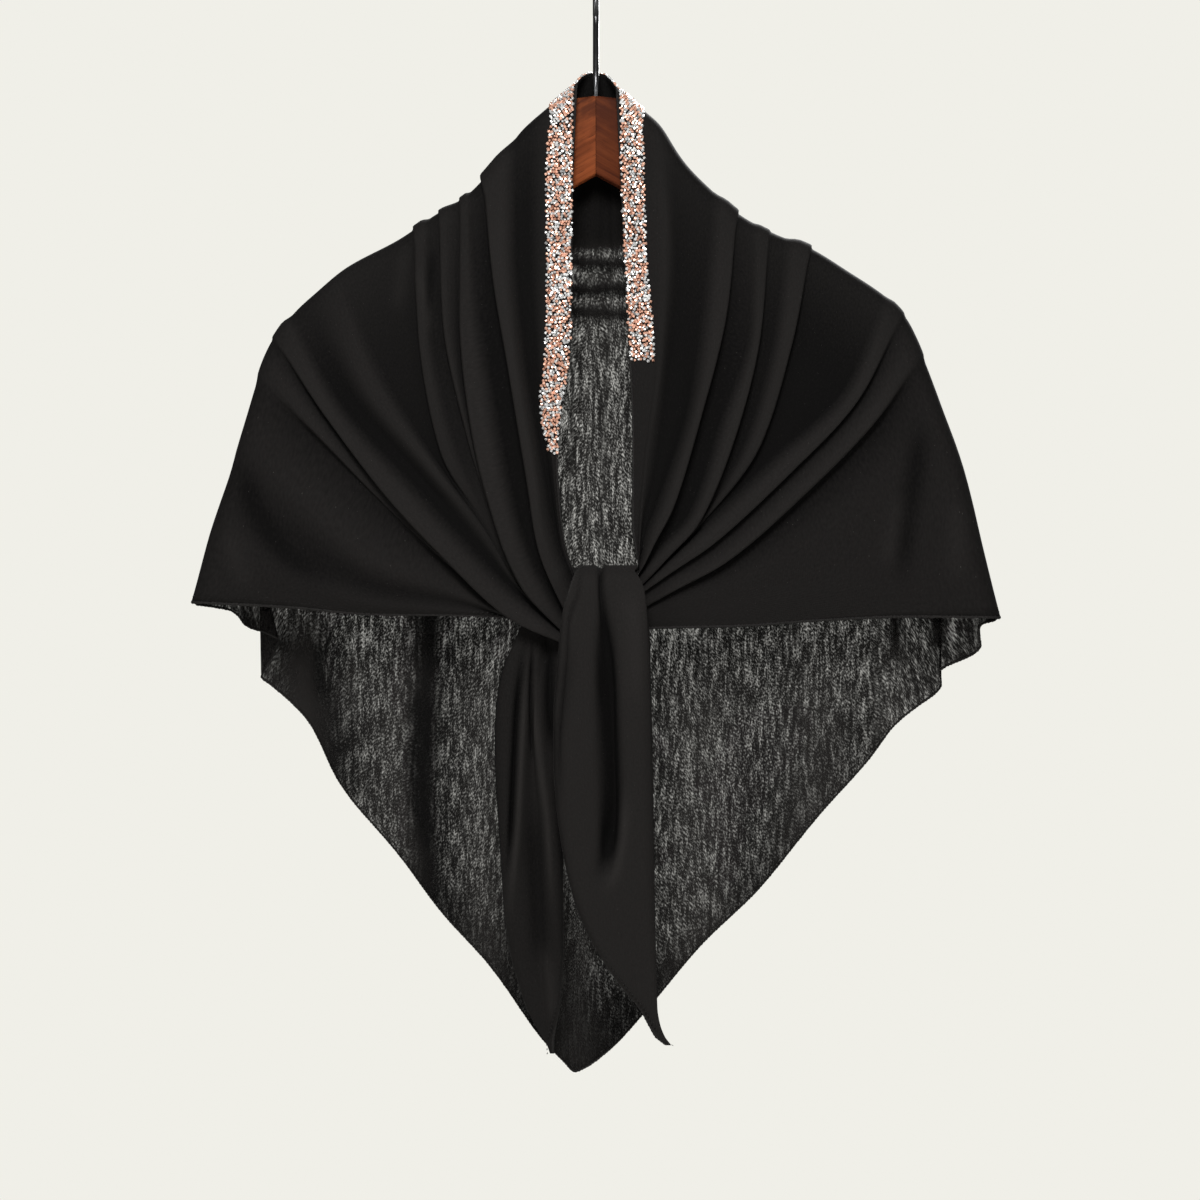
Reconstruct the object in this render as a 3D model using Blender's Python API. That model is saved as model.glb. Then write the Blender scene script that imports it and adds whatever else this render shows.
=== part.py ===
# A triangular jersey headscarf, hung round a wooden hanger and tied once in front.
# The origin is where the hook hangs, at the inside top of its bend. +X is to the right of
# someone who faces the scarf, +Y runs to its back and +Z is up. Sizes are millimetres
# until a mesh is written.

import math

import bmesh
import bpy
import numpy as np

MM = 0.001

# Outlines in the tables are read square on in the hanger's plane, by an eye this far in front
EYE_DISTANCE = 2200.0
EYE_X = 3.0
EYE_Z = -452.0

WALL = 1.2              # jersey, with its relief
SEAM = 0.3              # between one stretch of cloth and the next
NEAR_TURN = (0.0, 0.004, 0.012, 0.026)    # closer steps where the front turns over the arm
SHOULDER_ROUND = 12.0   # how far down the cloth turns over the arm
FRONT_BULGE = 14.0      # how far it then stands before the hanger's plane
BACK_BULGE = 14.0
KNOT_DEPTH = 30.0       # how far before that plane the two ends gather
FRONT_STEP = 13.0       # widest step along the turn, in front and behind
BACK_STEP = 17.0
FRONT_ROWS = 15         # from the turn to the knot, besides the closer steps

WOOD_THICK = 13.0
WOOD_TOP = -85.0
WOOD_APEX = -142.0      # where the two lower edges meet
WOOD_PITCH = 0.555      # fall of the lower edge for each millimetre outwards
WOOD_REACH = 219.0
WOOD_CLEAR = 1.55       # from the cloth's middle down to the wood
WOOD_TIP = 12.0         # length of each arm's rounded end
WOOD_SIDES = 16
WOOD_STEPS = (8.0, 16.0, 24.0, *range(34, 211, 12))    # distances out of its sections
WOOD_TIP_STEPS = (5.0, 2.0, 0.4)                       # the last ones, back from the end
WOOD_TIP_DROP = 0.4          # how much more the tip rounds off at its top
WOOD_SQUARE = (0.5, 0.85)    # as KNOT_SQUARE, across and in height

WIRE = 4.5
WIRE_SIDES = 10
HOOK_INSIDE = 20.0      # inner radius of the bend
HOOK_STEM = ((0.0, SEAM), (0.0, 8.0), (0.5, 15.0), (4.5, 22.0))    # depth, height over the wood
HOOK_BEND = (-38.0, 205.0)    # where the bend starts and ends, degrees up from the back
HOOK_STEPS = 16

BAND_THICK = 1.6
BAND_LIFT = 0.3         # from the cloth to the band's back
NECK_BAND_ROWS = 4      # rows of the back that the band behind the neck spans, 17.5 mm
BAND_LINE = 1           # the front line at the band's outer edge

# The line where the cloth turns over, from the neck along the shoulder and down the side:
# distance out from the middle, height, depth
TURN_LEFT = (
    (14, -82, 0), (34, -93, 0), (52, -111, 0), (71, -136, 0), (94, -158, 0), (118, -172, 0),
    (143, -189, 0), (182, -210, 0), (205, -229, 0), (219, -242, 0), (232, -259, 0),
    (241, -276, 0), (256, -323, 0), (277, -394, 1), (295, -454, 4),
)
TURN_RIGHT = (
    (15, -84, 0), (32, -94, 0), (45, -106, 0), (67, -136, 0), (85, -154, 0), (106, -172, 0),
    (130, -185, 0), (155, -195, 0), (183, -212, 0), (216, -235, 0), (227, -248, 0),
    (233, -262, 0), (245, -292, 0), (265, -350, 0), (281, -412, 1), (295, -465, 3),
)

# Lines of the front cloth, from the edge at the neck to the hem. Each leaves the turn at
# `start`, passes the three places (out, height) at a quarter, a half and three quarters of
# its way, and ends in the knot. `rise` is how far it stands proud at the turn, at those
# three places and at the knot: a fold's crest has a rise and the furrow beside it has none.
FRONT_LEFT = (
    # name     start  quarter          half             three quarters   rise
    ("edge", 14, (17.5, -168.5), (18.0, -256), (28.5, -346), (0, 0, 0, -6, -2)),
    ("band", 32, (35.5, -178), (36.5, -265.5), (32.0, -349), (0.5, 1, 1, -3, 0)),
    ("furrow", 50, (55, -189), (48, -271), (36.0, -352), (0, 0, 0, 0, 0)),
    ("roll", 68, (71, -205), (58.5, -277), (43, -358.5), (2, 6, 8, 9, 5)),
    ("furrow", 84.5, (79, -225.5), (66.5, -306), (52, -391.5), (0, 0, 0, 0, 0)),
    ("crest", 93.5, (90.5, -236.5), (82, -317), (60.5, -404.5), (1.5, 4, 5, 6, 4)),
    ("furrow", 101, (100, -246.5), (90, -330.5), (69.5, -413), (0, 0, 0, 0, 0)),
    ("crest", 109.5, (109, -249), (95, -333.5), (71.5, -415.5), (1.5, 3, 2, 1, 1)),
    ("furrow", 119, (115.5, -251), (100, -336.5), (73.5, -417.5), (0, 0, 0, 0, 0)),
    ("crest", 128.5, (124, -255), (106, -340), (76, -420), (2, 4, 4, 1, 1)),
    ("furrow", 144.5, (141, -266), (115.5, -347), (78, -422), (0, 0, 0, 0, 0)),
    ("crest", 193, (166, -291), (125.5, -357), (80.5, -424), (0, 3, 4, 3, 2)),
    ("furrow", 214, (178, -302), (131.5, -366), (83, -428), (0, 0, 0, 0, 0)),
    ("roll", 231, (186, -321), (139.5, -384), (87, -436), (1, 7, 8, 8, 5)),
    ("furrow", 237, (191.5, -328), (142.5, -388.5), (89, -439.5), (0, 3, 5, 7, 3)),
    ("crest", 242, (196.5, -333.5), (146, -392.5), (91.5, -443), (1, 6, 7, 6, 3)),
    ("furrow", 248, (204, -355.5), (149.5, -409), (93.5, -447.5), (0, 0, 0, 0, 0)),
    ("crest", 255, (214, -378), (155.5, -423.5), (92, -452.5), (0, 4, 4, 2, 3)),
    ("furrow", 265, (217.5, -401.5), (155.5, -439.5), (89, -456.5), (0, 0, 0, 0, 0)),
    ("side", 278, (222, -427), (156, -450.5), (86, -460), (0, 2, 2, 1, 2)),
    ("hem", 295, (227, -457.5), (157.5, -463), (83, -464.5), (0, 0, 0, 0, 0)),
)
FRONT_RIGHT = (
    ("edge", 15, (19.5, -169.5), (23.5, -256), (27, -342.5), (0, 0, 0, 0, 0)),
    ("band", 33, (37, -177.5), (41, -264.5), (34.5, -351), (0.5, 1, 1, 1, 1)),
    ("crest", 44.5, (51, -185.5), (47.5, -271), (39, -355.5), (0.5, 2.5, 3, 2, 2)),
    ("furrow", 61, (63.5, -205), (60, -282.5), (44, -360), (0, 0, 0, 0, 0)),
    ("roll", 92, (85.5, -230), (73, -301), (52.5, -376), (1.5, 5, 7, 7, 5)),
    ("furrow", 107, (98, -241.5), (81, -311), (60, -384.5), (0, 0, 0, 0, 0)),
    ("crest", 122, (119, -251), (98, -321), (66.5, -391.5), (1, 5, 6, 6, 4)),
    ("furrow", 132, (127, -255.5), (108, -327), (71.5, -396.5), (0, 0, 0, 0, 0)),
    ("crest", 147, (138.5, -263), (115.5, -332), (74.5, -399.5), (2, 5, 5, 2, 1.5)),
    ("furrow", 160, (151, -271), (123.5, -339.5), (77.5, -402), (0, 0, 0, 0, 0)),
    ("roll", 216, (181, -296.5), (132, -352), (82, -406.5), (1, 8, 9, 9, 5)),
    ("furrow", 227, (186, -308), (138, -363.5), (86, -411), (0, 3, 4, 4, 2)),
    ("crest", 233, (191.5, -318.5), (143, -372.5), (90.5, -416), (1, 7, 7, 7, 4)),
    ("furrow", 238, (195.5, -328.5), (147.5, -382), (95, -422), (0, 0, 0, 0, 0)),
    ("slope", 252, (209, -368), (156, -411.5), (99.5, -439.5), (0, 2, 2, 2, 2)),
    ("slope", 270, (222, -419), (163.5, -443), (101.5, -455.5), (0, 1, 1, 1, 1)),
    ("hem", 295, (231.5, -464.5), (167, -467), (101.5, -471.5), (0, 0, 0, 0, 0)),
)

# Each side: its sign along X, its turn, its lines, where its end runs into the knot
# (distance out, top and bottom), and how far down its lines the crystal band goes
SIDES = {
    "left": dict(sign=-1, turn=TURN_LEFT, lines=FRONT_LEFT, knot=(16, -434, -481), band_end=0.75),
    "right": dict(sign=1, turn=TURN_RIGHT, lines=FRONT_RIGHT, knot=(31, -430, -473), band_end=0.56),
}

# The back's lower edge. Under each place along the turn (given by its x) stands the hem's
# own place: x, height and depth. Near both sides the hem doubles back in small flutes.
BACK_HEM = (
    (-295, -291, -455.5, 8), (-284, -264.5, -460.5, 18), (-279, -255, -471.5, 26),
    (-270, -241, -476, 33), (-263, -231.5, -482, 36), (-258, -235, -492, 40),
    (-252, -242.5, -505, 45), (-248, -244, -508.5, 47), (-242, -239, -513, 48),
    (-234, -228.5, -522.5, 47), (-220, -210, -543, 44), (-194, -186, -584.5, 41),
    (-163, -155, -625.5, 38), (-119, -110, -681, 35), (-68, -67, -733.5, 32),
    (-32, -37, -774.5, 30), (-14, -25, -788, 29), (0, -15.5, -797, 29),
    (15, -8, -794, 29), (33, 9, -781, 29), (61, 39, -748.5, 30), (92, 76, -706, 31),
    (132, 117.5, -663.5, 33), (160, 147, -629.5, 35), (191, 179.5, -590.5, 37),
    (216, 207, -558.5, 39), (230, 224, -539, 41), (238, 236.5, -528, 43),
    (246, 249.5, -518, 44), (252, 252.5, -512, 44), (256, 250.5, -504.5, 40),
    (261, 261.5, -498, 35), (267, 276, -491.5, 29), (273, 281, -485.5, 24),
    (280, 279, -476.5, 19), (287, 281, -470.5, 13), (295, 291, -467, 8),
)

# The edge that stands behind the neck, between the two ends of the turns: x, height, depth
COLLAR = (
    (-14, -82, 0), (-9.5, -74.5, 7), (-4, -71, 12), (0, -70, 13.5), (5, -71, 12.5),
    (10, -75.5, 7), (15, -84, 0),
)

NECK_COLUMNS = (18.5, 23.0, 27.5)    # closer columns where the crystal band turns
COLLAR_ROUND = 30.0      # how far below its edge the collar has come back to the hanging cloth
FOLD_ROUND = 60.0        # how far below the turn the back's folds are fully there

# Rows of the back, as shares of the way from the turn to the hem
BACK_ROWS = (
    0.0, 0.006, 0.014, 0.024, 0.045, 0.08, 0.13, 0.165, 0.187, 0.207, 0.228, 0.25, 0.32, 0.42,
    0.54, 0.67, 0.8, 0.9, 1.0,
)

# Upright folds of the back, by the x where they leave the turn: how far each stands out
# behind, at the top and at the hem
BACK_FOLDS = (
    (-295, 0, 0), (-248, 0, 0), (-224, 1, 4), (-188, 0, -5), (-152, 2, 4), (-122, 0, -6),
    (-84, 2, 4), (-45, 0, -3), (0, 1, 4), (48, 0, -3), (92, 2, 5), (132, 0, -3),
    (172, 1, 4), (205, 0, -3), (224, 1, 4), (242, 0, -2), (256, 0, 0), (295, 0, 0),
)

# Slack rolls that hang across the back of the neck: depth of their furrow or crest below
# the collar at the middle, and how far it stands out behind. Outwards they rise and fade.
NECK_SWAGS = ((0, 0), (96, 0), (122, 5), (136, -2), (150, 4), (166, -1), (182, 3), (215, 0))
SWAG_REACH = 55.0
SWAG_LIFT = 16.0
SWAG_FLAT = 0.25         # share of the reach that keeps their full depth

# Cross sections of the two hanging ends: height of each, its left and right edges, how far
# before the hanger's plane it hangs, how deep the furrow is and how far its edges turn back
TAIL_FRONT = (
    # height  left   right  depth  furrow turned
    (-431, -19.5, 28, 45, 1.5, 0),
    (-436, -21.5, 32, 49.5, 4, 0),
    (-446, -21.5, 35.5, 52.2, 6, 0.5),
    (-462, -24, 37, 53.5, 7, 3),
    (-484, -26.5, 38.5, 54, 7, 7),
    (-512, -29, 39.5, 53.5, 7, 9),
    (-540, -31.5, 40.5, 53, 6.5, 9),
    (-569, -32, 41, 52, 6, 9),
    (-598, -29, 41.5, 51, 5.5, 8.5),
    (-634, -24, 42, 50, 4, 8),
    (-664, -17.5, 42.5, 49, 2.5, 7),
    (-690, -8, 43, 48, 1.5, 6),
    (-711, 3, 43.5, 47.5, 1, 4),
    (-733, 18, 44, 47, 0.5, 2.5),
    (-750, 32, 44.5, 47, 0, 1),
    (-762, 38.5, 46.5, 47, 0, 0.5),
    (-771, 43.5, 50.5, 47, 0, 0),
    (-777, 51, 55, 47, 0, 0),
)
TAIL_FRONT_FURROW = 0.5      # where the furrow lies between the edges

TAIL_LEFT = (
    (-455, -52, -16, 23, 2, 0),
    (-468, -54, -16, 23, 3, 0),
    (-484, -60, -17.5, 24, 4, 2),
    (-504, -68, -22, 26, 6, 5),
    (-530, -72.5, -24, 27, 7, 7),
    (-562, -73.5, -24.5, 27, 7, 8),
    (-595, -72, -24.5, 27, 7, 8),
    (-635, -69.5, -24.5, 26.5, 7, 7),
    (-672, -67, -24.5, 26, 7, 6),
    (-706, -63, -24, 25.5, 6, 5),
    (-733, -56, -26, 25, 4, 4),
    (-750, -50, -28, 25, 2, 2),
    (-764, -43, -29.5, 25, 1, 1),
    (-776, -36, -31, 25, 0, 0),
    (-783, -33.5, -31, 25, 0, 0),
)
TAIL_LEFT_FURROW = 0.58

# The crossing inside the knot, and the front end that comes up behind it and over it
KNOT_TOP = -428.4
KNOT_BOTTOM = -481.0
KNOT_FRONT = 45.2
KNOT_BACK = 16.0
KNOT_SQUARE = 0.7            # 1 is an ellipse, less is squarer
KNOT_RINGS = 7
KNOT_SIDES = 24
KNOT_PLEATS = 5              # pairs of them round the crossing, wound on by KNOT_WIND radians
KNOT_PLEAT_DEPTH = 0.8
KNOT_WIND = 2.5
OVER_ANGLES = (-25, 0, 25, 48, 68, 90, 112)
OVER_CLEAR = 1.0             # from the crossing to the middle of the cloth over it
OVER_EDGES = (-15.0, 30.0)
BUTT = 2                     # rows and columns of the left end that meet the crossing squarely

COLOURS = {
    "jersey": ((0.012, 0.0115, 0.011), 0.9, 0.0),
    "crystal": ((0.62, 0.42, 0.34), 0.25, 0.0),
    "wood": ((0.14, 0.040, 0.016), 0.45, 0.0),
    "metal": ((0.12, 0.12, 0.12), 0.35, 1.0),
}


def material(name):
    found = bpy.data.materials.get(name)
    if found:
        return found
    colour, roughness, metallic = COLOURS[name]
    made = bpy.data.materials.new(name)
    made.use_nodes = True
    shader = made.node_tree.nodes["Principled BSDF"]
    shader.inputs["Base Color"].default_value = (*colour, 1.0)
    shader.inputs["Roughness"].default_value = roughness
    shader.inputs["Metallic"].default_value = metallic
    return made


def body(name, points, faces, finish):
    # One closed mesh from millimetre points, its faces turned outwards
    mesh = bpy.data.meshes.new(name)
    mesh.from_pydata([tuple(p * MM) for p in points], [], faces)
    shape = bmesh.new()
    shape.from_mesh(mesh)
    bmesh.ops.recalc_face_normals(shape, faces=shape.faces)
    shape.to_mesh(mesh)
    shape.free()
    mesh.shade_smooth()
    mesh.set_sharp_from_angle(angle=math.radians(50))
    mesh.materials.append(material(finish))
    made = bpy.data.objects.new(name, mesh)
    bpy.context.scene.collection.objects.link(made)
    return made


def ease(f):
    f = np.clip(f, 0.0, 1.0)
    return f * f * (3.0 - 2.0 * f)


def spline(keys, values, at):
    # Smooth curve through a table's rows, which never swings out past them: the slope at a
    # row is the harmonic mean of those on its two sides, and level where they differ in sign
    keys = np.asarray(keys, float)
    values = np.asarray(values, float)
    steps = np.diff(keys).reshape((-1,) + (1,) * (values.ndim - 1))
    rise = np.diff(values, axis=0) / steps
    both = rise[:-1] * rise[1:]
    mean = 2 * both / np.where(both > 0, rise[:-1] + rise[1:], 1.0)
    slopes = np.concatenate([rise[:1], np.where(both > 0, mean, 0.0), rise[-1:]])
    at = np.clip(np.asarray(at, float), keys[0], keys[-1])
    row = np.clip(np.searchsorted(keys, at, side="right") - 1, 0, len(keys) - 2)
    span = keys[row + 1] - keys[row]
    f = (at - keys[row]) / span
    extra = (1,) * (values.ndim - 1)
    f = f.reshape(f.shape + extra)
    span = span.reshape(span.shape + extra)
    start, end = values[row], values[row + 1]
    return (
        start * (1 + 2 * f) * (1 - f) ** 2
        + end * f * f * (3 - 2 * f)
        + slopes[row] * span * f * (1 - f) ** 2
        - slopes[row + 1] * span * f * f * (1 - f)
    )


def waves(keys, values, at):
    # Like spline, but level at every row, so that rows are crests and furrows
    keys = np.asarray(keys, float)
    values = np.asarray(values, float)
    at = np.clip(np.asarray(at, float), keys[0], keys[-1])
    row = np.clip(np.searchsorted(keys, at, side="right") - 1, 0, len(keys) - 2)
    f = ease((at - keys[row]) / (keys[row + 1] - keys[row]))
    f = f.reshape(f.shape + (1,) * (values.ndim - 1))
    return values[row] * (1 - f) + values[row + 1] * f


def placed(x, y, z):
    # A point seen at x, z from the eye and lying at depth y
    spread = 1.0 + y / EYE_DISTANCE
    return np.stack([EYE_X + (x - EYE_X) * spread, y, EYE_Z + (z - EYE_Z) * spread], axis=-1)


def turned(distance):
    # 0 at the turn, 1 once the cloth has come round it: a quarter circle
    f = 1.0 - np.clip(distance / SHOULDER_ROUND, 0.0, 1.0)
    return np.sqrt(np.clip(1.0 - f * f, 0.0, 1.0))


def unit(v):
    return v / np.maximum(np.linalg.norm(v, axis=-1, keepdims=True), 1e-9)


def normals(grid, towards):
    across = np.gradient(grid, axis=0)
    along = np.gradient(grid, axis=1)
    out = unit(np.cross(across, along))
    return out * np.sign((out @ np.asarray(towards, float)).sum())


def seam_normals(edge):
    # At the turn both stretches face straight out from it, so that their rims stay apart
    run = unit(np.gradient(edge, axis=0))
    out = unit(np.cross(run, (0.0, 1.0, 0.0)))
    up = np.sign(out[:, 2].sum())
    return out * up


def wall(name, grid, facing, low, high, finish):
    # A closed sheet of cloth: the grid moved along its normals by low and by high
    rows, columns = grid.shape[:2]
    sheets = [grid + facing * high, grid + facing * low]
    points = np.concatenate([s.reshape(-1, 3) for s in sheets])
    below = rows * columns
    faces = []

    def at(i, j, side):
        return i * columns + j + side * below

    for i in range(rows - 1):
        for j in range(columns - 1):
            for side in (0, 1):
                a, b = at(i, j, side), at(i + 1, j, side)
                c, d = at(i + 1, j + 1, side), at(i, j + 1, side)
                faces += [(a, b, c), (a, c, d)]
    rim = [(i, 0) for i in range(rows)] + [(rows - 1, j) for j in range(1, columns)]
    rim += [(i, columns - 1) for i in range(rows - 2, -1, -1)]
    rim += [(0, j) for j in range(columns - 2, 0, -1)]
    for (i, j), (k, m) in zip(rim, rim[1:] + rim[:1]):
        faces += [(at(i, j, 0), at(k, m, 0), at(k, m, 1)), (at(i, j, 0), at(k, m, 1), at(i, j, 1))]
    return body(name, points, faces, finish)


def loft(name, rings, finish):
    # A closed form through rings of equal count, with a flat end at both ends
    rings = np.asarray(rings)
    count = rings.shape[1]
    faces = [tuple(range(count)), tuple((len(rings) - 1) * count + k for k in range(count))]
    for i in range(len(rings) - 1):
        for k in range(count):
            m = (k + 1) % count
            a, b = i * count + k, i * count + m
            faces += [(a, b, b + count), (a, b + count, a + count)]
    return body(name, rings.reshape(-1, 3), faces, finish)


def turn_at(side, out):
    table = np.array(SIDES[side]["turn"], float)
    return spline(table[:, 0], table[:, 1:], out)


def front_grid(side, line_at, along_at):
    # The middle of one front stretch. line_at counts the table's lines and may lie between
    # two of them; along_at runs from 0 at the turn to 1 in the knot.
    spec = SIDES[side]
    lines = spec["lines"]
    keys = np.arange(len(lines))
    start = spline(keys, [row[1] for row in lines], line_at)
    turn = turn_at(side, start)
    knot_out, knot_top, knot_bottom = spec["knot"]
    ends = knot_top + (knot_bottom - knot_top) * np.asarray(line_at) / keys[-1]
    stations = [np.stack([start, turn[:, 0]], axis=-1)]
    for column in (2, 3, 4):
        stations.append(spline(keys, [row[column] for row in lines], line_at))
    stations.append(np.stack([np.full_like(ends, knot_out), ends], axis=-1))
    quarters = np.linspace(0.0, 1.0, 5)
    flat = spline(quarters, np.array(stations), along_at).transpose(1, 0, 2)
    rise = waves(keys, [row[5] for row in lines], line_at)
    rise = spline(quarters, rise.T, along_at).T
    steps = np.linalg.norm(np.diff(flat, axis=1), axis=-1)
    run = np.concatenate([np.zeros((len(flat), 1)), np.cumsum(steps, axis=1)], axis=1)
    drawn_in = ease(np.asarray(along_at))[None, :] * (KNOT_DEPTH - FRONT_BULGE)
    depth = turn[:, 1:2] * (1 - ease(np.asarray(along_at)))[None, :]
    depth = depth - FRONT_BULGE * turned(run) - drawn_in
    grid = placed(spec["sign"] * flat[..., 0], depth, flat[..., 1])
    facing = normals(grid, (0, -1, 0))
    facing[:, 0] = seam_normals(grid[:, 0])
    grid = grid + facing * rise[..., None]
    facing = normals(grid, (0, -1, 0))
    facing[:, 0] = seam_normals(grid[:, 0])
    grid[:, 0, 1] -= SEAM / 2
    return grid, facing


def filled(values, widest, least=1):
    # The values with equal steps put in between, none wider than `widest`; and where they
    # stand, counted in the first values
    found, at = [values[0]], [0.0]
    for k, (a, b) in enumerate(zip(values, values[1:])):
        steps = max(least, math.ceil(abs(b - a) / widest))
        for n in range(1, steps + 1):
            found.append(a + (b - a) * n / steps)
            at.append(k + n / steps)
    return np.array(found), np.array(at)


def front_samples(side):
    line_at = filled([row[1] for row in SIDES[side]["lines"]], FRONT_STEP, 2)[1]
    along_at = np.concatenate([NEAR_TURN, np.linspace(0.0, 1.0, FRONT_ROWS)[1:]])
    nearest = np.argmin(abs(along_at - SIDES[side]["band_end"]))
    along_at[nearest] = SIDES[side]["band_end"]
    return line_at, along_at, nearest


def make_fronts():
    for side, spec in SIDES.items():
        line_at, along_at, last = front_samples(side)
        grid, facing = front_grid(side, line_at, along_at)
        # The end in the knot is square, so that it meets the crossing face to face
        facing[:, -1, 0] = 0.0
        facing[:, -1] = unit(facing[:, -1])
        grid[:, -1, 0] = spec["sign"] * spec["knot"][0]
        wall("front_" + side, grid, facing, -WALL / 2, WALL / 2, "jersey")
        lines = np.flatnonzero(line_at <= BAND_LINE)
        low = WALL / 2 + BAND_LIFT
        strip = np.ix_(lines, range(last + 1))
        wall("band_" + side, grid[strip], facing[strip], low, low + BAND_THICK, "crystal")


def back_columns():
    # The x of each column along the turn, and the turn's own points, left to right
    left = filled([row[1] for row in FRONT_LEFT], BACK_STEP)[0]
    right = filled([row[1] for row in FRONT_RIGHT], BACK_STEP)[0]
    beyond = NECK_COLUMNS[-1]
    left = sorted([out for out in left if out > beyond] + list(NECK_COLUMNS), reverse=True)
    right = sorted([out for out in right if out > beyond] + list(NECK_COLUMNS))
    top_left = [(-out, *turn_at("left", [out])[0]) for out in left]
    top_right = [(out, *turn_at("right", [out])[0]) for out in right]
    return np.array(top_left + list(COLLAR) + top_right, float)


def back_grid(tops, down_at):
    hem = np.array(BACK_HEM, float)
    ends = spline(hem[:, 0], hem[:, 1:], tops[:, 0])
    f = np.asarray(down_at)[None, :]
    x = tops[:, 0:1] * (1 - f) + ends[:, 0:1] * f
    z = tops[:, 1:2] * (1 - f) + ends[:, 1:2] * f
    length = np.linalg.norm(ends[:, :2] - tops[:, :2], axis=-1)[:, None]
    run = length * f
    depth = tops[:, 2:3] * (1 - f) + BACK_BULGE * turned(run) * (1 - f) + ends[:, 2:3] * f
    behind_neck = (tops[:, 2:3] / BACK_BULGE).clip(0, 1)
    depth -= BACK_BULGE * turned(run) * (1 - f) * behind_neck
    depth += (BACK_BULGE - tops[:, 2:3]) * behind_neck * ease(run / COLLAR_ROUND) * (1 - f)
    grid = placed(x, depth, z)
    sewn = abs(tops[:, 0]) > COLLAR[-1][0] - 0.5
    facing = back_normals(grid, sewn)
    folds = np.array(BACK_FOLDS, float)
    rise = waves(folds[:, 0], folds[:, 1:], tops[:, 0])
    rise = (rise[:, :1] * (1 - f) + rise[:, 1:] * f) * ease(run / FOLD_ROUND)
    swags = np.array(NECK_SWAGS, float)
    middle = [row[1] for row in COLLAR if row[0] == 0][0]
    below = middle - z - SWAG_LIFT * (x / SWAG_REACH) ** 2
    slack = waves(swags[:, 0], swags[:, 1], below)
    slack = slack * ease((1 - abs(x) / SWAG_REACH) / (1 - SWAG_FLAT)) * ease(run / COLLAR_ROUND)
    grid = grid + facing * (rise + slack)[..., None]
    facing = back_normals(grid, sewn)
    grid[:, 0, 1] += SEAM / 2
    return grid, facing


def back_normals(grid, sewn):
    facing = normals(grid, (0, 1, 0))
    facing[sewn, 0] = seam_normals(grid[:, 0])[sewn]
    return facing


def make_back():
    tops = back_columns()
    grid, facing = back_grid(tops, BACK_ROWS)
    wall("back_panel", grid, facing, -WALL / 2, WALL / 2, "jersey")
    make_neck_band(tops, grid, facing)


def make_neck_band(tops, grid, facing):
    # The band behind the neck hangs from the collar's edge and runs out over both shoulders
    near = np.flatnonzero(abs(tops[:, 0]) < FRONT_RIGHT[BAND_LINE][1] + 0.5)
    strip = np.ix_(near, range(NECK_BAND_ROWS))
    low = WALL / 2 + BAND_LIFT
    wall("band_neck", grid[strip], facing[strip], low, low + BAND_THICK, "crystal")


def tail_section(left, right, depth, furrow, turned_back, furrow_at):
    # One section of a hanging end: two soft pleats with a furrow between, edges turned back.
    # Gives x and how far before the hanger's plane, from the left edge to the right.
    f = np.array([0.0, 0.0, 0.05, 0.16, 0.3, 0.42, 0.5, 0.58, 0.7, 0.84, 0.95, 1.0, 1.0])
    f = np.where(f < 0.5, f * 2 * furrow_at, furrow_at + (f - 0.5) * 2 * (1 - furrow_at))
    rise = np.array([0.0, 0.0, 0.0, 0.0, 0.0, -0.5, -1.0, -0.5, 0.0, 0.0, 0.0, 0.0, 0.0]) * furrow
    edge = np.array([1.0, 0.45, 0.15, 0, 0, 0, 0, 0, 0, 0, 0.15, 0.45, 1.0]) * turned_back
    x = left + (right - left) * f
    x[0] += 0.6 * turned_back
    x[-1] -= 0.6 * turned_back
    return x, depth + rise - edge


def tail_grid(table, furrow_at):
    table = np.array(table, float)
    rows = []
    for z, left, right, depth, furrow, turned_back in table:
        x, before = tail_section(left, right, depth, furrow, turned_back, furrow_at)
        rows.append(placed(x, -before, np.full_like(x, z)))
    return np.array(rows)


def make_tails():
    grid = tail_grid(TAIL_FRONT, TAIL_FRONT_FURROW)
    share = (grid[0, :, 0] - grid[0, 0, 0]) / (grid[0, -1, 0] - grid[0, 0, 0])
    x = OVER_EDGES[0] + (OVER_EDGES[1] - OVER_EDGES[0]) * share
    over = []
    for angle in OVER_ANGLES:
        y, z = knot_outline(math.radians(angle), OVER_CLEAR)
        over.append(np.stack([x, np.full_like(x, y), np.full_like(x, z)], axis=-1))
    grid = np.concatenate([np.array(over), grid])
    facing = normals(grid, (0, -1, 0.2))
    wall("tail_front", grid, facing, -WALL / 2, WALL / 2, "jersey")

    grid = tail_grid(TAIL_LEFT, TAIL_LEFT_FURROW)
    facing = normals(grid, (0, -1, 0))
    grid[:BUTT, -BUTT:, 0] = -SIDES["left"]["knot"][0]
    facing[:BUTT, -BUTT:, 0] = 0.0
    facing = unit(facing)
    wall("tail_left", grid, facing, -WALL / 2, WALL / 2, "jersey")


def knot_outline(angle, clear):
    # Depth and height on the crossing's section, from the back (0) over the top (90 degrees)
    c, s = math.cos(angle), math.sin(angle)
    half_depth = (KNOT_FRONT - KNOT_BACK) / 2 + clear
    half_height = (KNOT_TOP - KNOT_BOTTOM) / 2 + clear
    y = -(KNOT_FRONT + KNOT_BACK) / 2 + half_depth * math.copysign(abs(c) ** KNOT_SQUARE, c)
    z = (KNOT_TOP + KNOT_BOTTOM) / 2 + half_height * math.copysign(abs(s) ** KNOT_SQUARE, s)
    return y, z


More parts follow.
